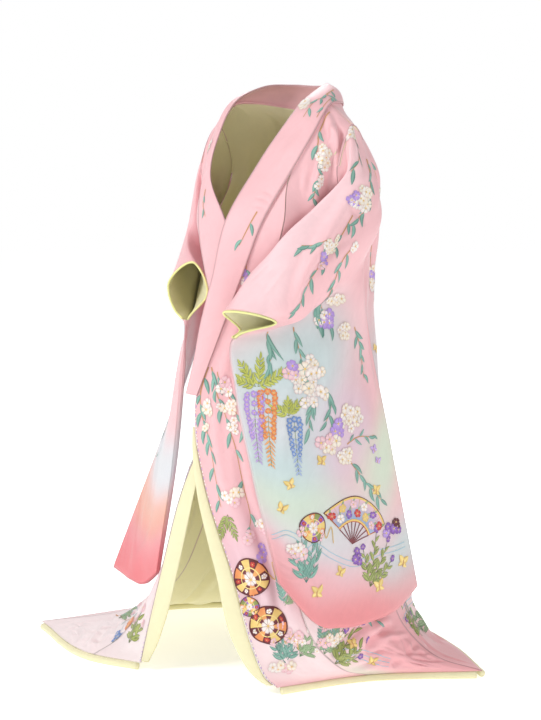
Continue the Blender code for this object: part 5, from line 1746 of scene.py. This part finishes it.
    def butterfly(self, motif: Butterfly) -> None:
        """Work a butterfly: four wings and a body.

        Args:
            motif: the butterfly.
        """
        size = motif.size * MM
        for angle, share in ((-130.0, 1.0), (-50.0, 1.0), (145.0, 0.7), (35.0, 0.7)):
            length = size * share
            self.leaf(motif.place, np.zeros(2), length, length * 0.3, angle + motif.angle, motif.hue, 2)
        self.leaf(motif.place, ray(motif.angle - 90.0) * size * 0.35, size * 0.8, size * 0.06,
                  90.0 + motif.angle, Hue.BARK, 3)

    def stream(self, motif: Stream) -> None:
        """Work running water as thin lines side by side.

        Args:
            motif: the water.
        """
        path = self.path(motif.run, len(motif.run) * 6)
        for line in range(motif.lines):
            for place, step in zip(path, np.diff(path, axis=0)):
                right, down = self.reach(place, step)
                aside = unit(np.array((-down, right))) * (line * motif.apart * MM)
                self.line(place, np.linspace((0.0, 0.0), (right * 1.05, down * 1.05), 3) + aside, 0.0008,
                          Hue.WATER.value[1])

    def arc(self, place: Plan, radii: Plan, turns: Plan, colours: tuple, layer: int, cells: int = 36) -> None:
        """Work a band of a ring between two radii and two angles.

        Args:
            place: its anchor.
            radii: the inner and outer radius.
            turns: the first and last angle in degrees.
            colours: the colours of its inner and outer rim.
            layer: which patches it lies over.
            cells: its steps round.
        """
        angles = np.radians(np.linspace(*turns, cells + 1))
        way = np.stack((np.cos(angles), np.sin(angles)), axis=1)
        points = np.concatenate([way * radius for radius in np.linspace(*radii, 5)])
        shades = np.repeat(np.linspace(*np.array(colours, float), 5), cells + 1, axis=0)
        self.add(place, points, grid_faces(5, cells + 1, True), shades, layer)

    def fan(self, motif: Fan) -> None:
        """Work an open fan: ribs below, a banded and flowered leaf above.

        Args:
            motif: the fan.
        """
        first, last = motif.angle - 148.0, motif.angle - 32.0
        size = motif.size * MM
        wine, gold = Hue.WINE.value, Hue.GOLD.value
        for inner, outer, inset, colours, layer in (
                (0.46, 1.0, 0, (Hue.RED.value[1], wine[1]), 1),
                (0.52, 0.94, 2, ((150, 178, 214), (238, 196, 206)), 2),
                (0.94, 0.98, 1, (gold[1], gold[1]), 3), (0.475, 0.515, 1, (gold[1], gold[1]), 3)):
            self.arc(motif.place, (size * inner, size * outer), (first + inset, last - inset), colours, layer)
        for angle in np.linspace(first, last, 9):
            way = ray(angle) * size
            self.line(motif.place, np.linspace(way * 0.0, way * 0.47, 4), size * 0.011, wine[0], 2)
            self.line(motif.place, np.linspace(way * 0.5, way * 0.96, 4), 0.0004, gold[2], 3)
        for number, angle in enumerate(np.linspace(first, last, 23)[1::2]):
            share = 0.64 if number % 2 else 0.82
            way, hue = ray(angle) * size, POSY_HUES["rwgvb"[number % 5]]
            self.flower(motif.place, way * share, size * 0.105, hue, 4)
            self.leaf(motif.place, way * (share + 0.06), size * 0.13, size * 0.02, angle + 35.0, Hue.SAGE, 3)

    def ball(self, motif: Ball) -> None:
        """Work a thread ball: a disc of wedges, crossing bands, a flower and its cord.

        Args:
            motif: the ball.
        """
        size = motif.size * MM
        hues = ((Hue.WINE, Hue.GOLD, Hue.WINE, Hue.ORANGE) if motif.dark
                else (Hue.ORANGE, Hue.OLIVE, Hue.VIOLET, Hue.GOLD))
        for wedge in range(12):
            first = wedge * 30.0 + motif.angle
            self.arc(motif.place, (size * 0.05, size), (first, first + 30.0), hues[wedge % 4].value[:2], 2, 6)
        self.arc(motif.place, (size * 0.93, size), (0.0, 360.0), (Hue.WINE.value[1],) * 2, 3, 40)
        self.arc(motif.place, (size * 0.52, size * 0.58), (0.0, 360.0), (Hue.GOLD.value[0],) * 2, 3)
        for number in range(6):
            self.flower(motif.place, ray(number * 60.0 + motif.angle + 15.0) * size * 0.74, size * 0.15,
                        POSY_HUES["wr"[number % 2]], 4)
        self.flower(motif.place, np.zeros(2), size * 0.42, Hue.WHITE, 4, petals=8)
        share = np.linspace(0.0, 1.0, 14)
        cord = np.stack((0.9 + 0.9 * share, 0.5 * np.sin(share * 7.0) + 0.6 * share), axis=1) * size
        self.line(motif.place, turned(cord, motif.angle), 0.0011, Hue.GOLD.value[2], 3)

    def dashes(self, first: float, last: float) -> None:
        """Work a row of short stitches beside the first edge, between two shares of the way down.

        Args:
            first: where the row starts.
            last: where it ends.
        """
        flat = self.surface.flat
        count = int(flat[-1, 0, 1] * (last - first) / self.DASHES_APART)
        for step, down in enumerate(np.linspace(first, last, count, endpoint=False)):
            half_breadth = max(flat[int(down * self.surface.cells[1]), -1, 0], 0.005)
            self.line((1.5 / half_breadth, down * 1000), self.DASH, self.DASH_HALF,
                      (Hue.WHITE if step % 3 else Hue.LILAC).value[1])

    def work(self, motifs: tuple) -> None:
        """Work every motif of a table.

        Args:
            motifs: the table.
        """
        ways = {Bough: self.bough, Posy: self.posy, Raceme: self.raceme, Stream: self.stream,
                Frond: self.frond, Herb: self.herb, Butterfly: self.butterfly, Fan: self.fan, Ball: self.ball}
        for motif in motifs:
            ways[type(motif)](motif)

    def finish(self, material: bpy.types.Material) -> bpy.types.Object:
        """Make one object of all the stitching on the piece.

        Args:
            material: its material.

        Returns:
            The object.
        """
        points = np.concatenate(self.points)
        mesh = new_mesh("stitch_" + self.surface.name, points, self.faces, material)
        flat_map(mesh, points[:, (0, 2)] - (0.0, SHOULDER_REST))
        colour_mesh(mesh, linear(np.clip(np.concatenate(self.colours), 0, 255)))
        mesh.shade_smooth()
        return placed(mesh)


class Robe:
    """The robe's pieces, made from the surfaces of its silk."""

    def __init__(self) -> None:
        """Lay out every silk piece's surface and make the finishes."""
        self.finishes = {
            "silk": ClothFinish("silk_satin").material(),
            "lining": ClothFinish("lining_silk", roughness=0.5, sheen=0.25, tone=0.04).material(),
            "thread": ClothFinish("silk_thread", roughness=0.38, sheen=0.2, threads=1800.0,
                                  weave_height=0.0002, ripple_height=0.0, tone=0.1).material()}
        self.surfaces = {name: ClothSurface(name, grid, BodyPattern.OUTWARD[name])
                         for name, grid in BodyPattern().panels().items()}
        for side, outward in (("left", -1.0), ("right", 1.0)):
            name = "collar_" + side
            self.surfaces[name] = ClothSurface(name, collar_grid(COLLARS[side], outward), outward)
        for side, outward in (("left", -1.0), ("right", 1.0)):
            name = "sleeve_" + side
            self.surfaces[name] = ClothSurface(name, sleeve_rings(*SLEEVES[side]), outward, wrap=True)

    def build(self) -> None:
        """Make every piece of the robe."""
        made = {name: self.silk(surface) for name, surface in self.surfaces.items()}
        stitching = {name: self.embroidery(name, 40 + number) for number, name in enumerate(MOTIFS)}
        self.cuff_rolls()
        self.front_bands()
        self.hem_rolls()

    def silk(self, surface: ClothSurface) -> bpy.types.Object:
        """Make one silk piece's wall and its seam rolls; a sleeve is closed below the wrist.

        Args:
            surface: the piece's surface.

        Returns:
            The wall.
        """
        rows, columns = surface.grid.shape[:2]
        flip = surface.outward > 0
        faces = grid_faces(rows, columns, flip, surface.wrap)
        last = (rows - 1) * columns
        for step in range(BAG_CELLS if surface.wrap else 0):
            quad = (last + step, last + step + 1, last + columns - 2 - step, last + columns - 1 - step)
            faces.append(quad[::-1] if flip else quad)
        kind, side = surface.name.split("_")
        inside, lining = (PINK, "silk") if kind == "collar" else (LINING_GREEN, "lining")
        piece = wall_mesh(surface, faces, inside, self.finishes["silk"], self.finishes[lining])
        declare(piece, surface.name)
        if kind == "collar":
            self.bind_collar(surface)
        elif kind == "sleeve":
            self.bind_sleeve(side)
        return piece

    def roll(self, name: str, node: str, line: Grid, across: Grid, up: Grid, sizes: tuple, sides: int,
             colour: Place = LINING_GREEN, finish: str = "lining") -> None:
        """Make one roll of cloth.

        Args:
            name: its name.
            node: the solid that it stands for.
            line: its middle.
            across: the direction of its breadth.
            up: the direction of its depth.
            sizes: half its breadth and half its depth.
            sides: the faces round it.
            colour: its colour.
            finish: its finish and slot.
        """
        piece = tube(name, line, across, up, sizes, sides, colour, self.finishes[finish])
        declare(piece, node)

    def bind_collar(self, surface: ClothSurface) -> None:
        """Turn the collar seam's allowances into a narrow roll inside the neck.

        Args:
            surface: the collar's surface.
        """
        edge, normals = surface.grid[:, 0], grid_normals(surface.grid)[:, 0] * surface.outward
        inside = unit(surface.grid[:, 2] - edge) * (COLLAR_COVER + 0.0006) - normals * COLLAR_LAP * 1.25
        line, up = (edge + inside)[2:COLLAR_BOUND:2], normals[2:COLLAR_BOUND:2]
        self.roll("allowance_" + surface.name, surface.name, line, across_line(line, up), up,
                  (ALLOWANCE * 1.5, ALLOWANCE), 10, colour=PINK, finish="silk")

    def bind_sleeve(self, side: str) -> None:
        """Turn the allowances of the armhole and the shoulder fold into narrow rolls inside the body.

        Args:
            side: left or right.
        """
        sleeve, back = self.surfaces["sleeve_" + side], self.surfaces["back_" + side]
        mouth, out_of_sleeve = sleeve.grid[0], grid_normals(sleeve.grid)[1] * sleeve.outward
        halves = []
        for surface in (back, self.surfaces["front_" + side]):
            edge = surface.grid[:TIP_ROW + 1, -1]
            nearest = np.argmin(np.linalg.norm(edge[:, None] - mouth[None], axis=2), axis=1)
            up = unit(grid_normals(surface.grid)[:TIP_ROW + 1, -2] * surface.outward + out_of_sleeve[nearest])
            halves.append(np.stack((edge - up * TUCK, up)))
        armhole = np.concatenate((halves[0][:, :0:-1], halves[1]), axis=1)[:, ::2]
        first = round(CELLS["back"] * NECK_SHARE) - 1
        up = grid_normals(back.grid)[1, first:-2] * back.outward
        for node, line, way in ((sleeve.name, *armhole), (back.name, back.grid[0, first:-2] - up * TUCK, up)):
            self.roll("allowance_" + node, node, line, across_line(line, way), way,
                      (ALLOWANCE, ALLOWANCE), 10)

    def cuff_rolls(self) -> None:
        """Make the rolls of lining that show at the wrists."""
        round_arm = slice(BAG_CELLS + 1, -BAG_CELLS - 1)
        for side in ("left", "right"):
            rings = self.surfaces["sleeve_" + side].grid
            mouth = rings[-1][round_arm]
            around = unit(np.gradient(mouth, axis=0))
            ahead = mouth - rings[-4][round_arm]
            ahead = unit(ahead - around * np.sum(ahead * around, axis=1, keepdims=True))
            line = mouth + ahead * (CUFF_ROLL + SEAM_GAP)
            half = CUFF_ROLL * swell(line, 0.06, 0.031)
            self.roll("roll_cuff_" + side, "cuff_" + side, line, ahead, unit(np.cross(around, ahead)),
                      (half, half), 12, CUFF_YELLOW)

    def front_bands(self) -> None:
        """Make the padded bands along the lower front edges."""
        heights, *reaches, depths = np.array([(station.height, station.reach_left, station.reach_right,
                                               station.thickness) for station in FUKI[::-1]]).T
        places = np.linspace(heights[-1], heights[0], FUKI_ROWS + 1)
        depth = smooth(heights, depths, places)
        for side, reached, way, clear in (("left", reaches[0], (-0.80, -0.20, 0.0), 0.07),
                                          ("right", reaches[1], (0.90, -0.10, 0.0), 0.0)):
            reach = smooth(heights, reached, places)
            edge = self.surfaces["okumi_" + side].grid[:, 0]
            edge = edge[np.argsort(edge[:, 2])]
            inward = unit(np.array(way))
            line = np.stack([np.interp(places, edge[:, 2], edge[:, axis]) for axis in range(3)], axis=1)
            line = line + inward * ((reach + CLOTH + SEAM_GAP) / 2 + depth * clear)[:, None]
            self.roll("band_front_" + side, "fuki_front_" + side, line, inward, np.cross(inward, UP),
                      (reach / 2, depth / 2 * swell(line, 0.06, 0.047, 9.0)), FUKI_SIDES)

    def hem_line(self, name: str) -> Grid:
        """Return the run of a panel's hem, set out past the cloth and down on the floor.

        Args:
            name: the panel.

        Returns:
            The run.
        """
        grid = self.surfaces[name].grid
        line = grid[-1] + unit((grid[-1] - grid[-6]) * (1.0, 1.0, 0.0)) * HEM_ROLL_OUT
        line[:, 2] = HEM_ROLL + FLOOR_GAP
        return line

    def hem_rolls(self) -> None:
        """Make the padded rolls that the hem stands on: one for each front and one round the back."""
        lines = {name: self.hem_line(name) for name in BodyPattern.LINES}
        for name, first, second in (("left", lines["okumi_left"], lines["front_left"]),
                                    ("right", lines["okumi_right"], lines["front_right"]),
                                    ("back", lines["back_left"][::-1], lines["back_right"])):
            joined = np.concatenate((first[:-1], second[1:]))[::3]
            knots = chord_knots(joined)
            steps = int(knots[-1] / HEM_STEP)
            line = smooth(knots, joined, np.linspace(HEM_ROLL, knots[-1] - HEM_ROLL, steps))
            self.roll("roll_hem_" + name, "fuki_hem_" + name, line, across_line(line, UP), UP,
                      (HEM_ROLL * swell(line, 0.05, 0.043, 7.0), HEM_ROLL), 16)

    def embroidery(self, name: str, seed: int) -> bpy.types.Object:
        """Work the motifs of one piece, as one object.

        Args:
            name: the piece.
            seed: the start of its own unevenness.

        Returns:
            The stitching.
        """
        needle = Needle(self.surfaces[name], seed)
        needle.work(MOTIFS[name])
        if name.startswith("okumi"):
            needle.dashes(0.42, 0.985)
        piece = needle.finish(self.finishes["thread"])
        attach(piece, "root")
        LOG.info("%s: %d faces", piece.name, len(piece.data.polygons))
        return piece


@dataclass
class Studio:
    """The floor, the light and the camera."""

    distance: float = 4.0
    azimuth: float = math.radians(40.0)
    height: float = 1.3
    pitch: float = math.radians(7.85)
    lens: float = 56.8
    sensor: float = 24.0
    picture: tuple[int, int] = (541, 720)
    axis_column: float = 272.0
    air: float = 0.50

    def build(self) -> None:
        """Set up the studio."""
        bpy.ops.mesh.primitive_circle_add(vertices=96, radius=14.0, fill_type="NGON",
                                          location=(0.0, 0.0, -SHOULDER_REST))
        floor = bpy.context.object
        floor.name = "floor"
        bpy.ops.object.transform_apply(location=True, rotation=True, scale=True)
        material = bpy.data.materials.new("pale_floor")
        material.use_nodes = True
        feed(material.node_tree, material.node_tree.nodes["Principled BSDF"], {
            "Base Color": (0.992, 0.990, 0.988, 1.0), "Roughness": 0.7, "Specular IOR Level": 0.0,
            "Emission Color": (1.0, 1.0, 1.0, 1.0), "Emission Strength": 1.0 - self.air})
        floor.data.materials.append(material)
        world = bpy.data.worlds.new("studio_air")
        world.use_nodes = True
        tree = world.node_tree
        seen = tree.nodes.new("ShaderNodeLightPath").outputs["Is Camera Ray"]
        strength = math_node(tree, "MULTIPLY_ADD", seen, 1.0 - self.air, self.air)
        feed(tree, tree.nodes["Background"], {"Color": (1.0, 1.0, 1.0, 1.0), "Strength": strength})
        bpy.context.scene.world = world
        bpy.context.scene.view_settings.view_transform = "Standard"
        self.light("key", (-1.3, -3.6, 2.3), 1.2, 108.0)
        self.light("fill", (3.8, -0.6, 1.0), 2.6, 30.0)
        self.light("back", (-2.6, 2.6, 2.2), 1.6, 62.0)
        self.camera()

    def light(self, name: str, place: Place, size: float, power: float) -> None:
        """Add a soft square light aimed at the middle of the robe.

        Args:
            name: its name.
            place: where it hangs.
            size: its side.
            power: its power in watts.
        """
        lamp = bpy.data.lights.new(name, "AREA")
        lamp.size = size
        lamp.energy = power
        holder = bpy.data.objects.new(name, lamp)
        bpy.context.scene.collection.objects.link(holder)
        holder.location = place
        toward = np.array((0.0, 0.0, -0.6)) - np.array(place)
        holder.rotation_euler = (math.pi / 2 + math.atan2(toward[2], math.hypot(toward[0], toward[1])), 0.0,
                                 math.atan2(toward[1], toward[0]) - math.pi / 2)

    def camera(self) -> None:
        """Add the camera."""
        lens = bpy.data.cameras.new("camera")
        lens.lens = self.lens
        lens.sensor_fit = "VERTICAL"
        lens.sensor_height = self.sensor
        lens.shift_x = -(self.axis_column - self.picture[0] / 2) / self.picture[1]
        holder = bpy.data.objects.new("camera", lens)
        bpy.context.scene.collection.objects.link(holder)
        holder.location = (self.distance * math.sin(self.azimuth), -self.distance * math.cos(self.azimuth),
                           self.height - SHOULDER_REST)
        holder.rotation_euler = (math.pi / 2 - self.pitch, 0.0, self.azimuth)
        bpy.context.scene.camera = holder


def main() -> None:
    """Build the robe and its studio."""
    logging.basicConfig(level=logging.INFO)
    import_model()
    Robe().build()
    Studio().build()


if __name__ == "__main__":
    main()
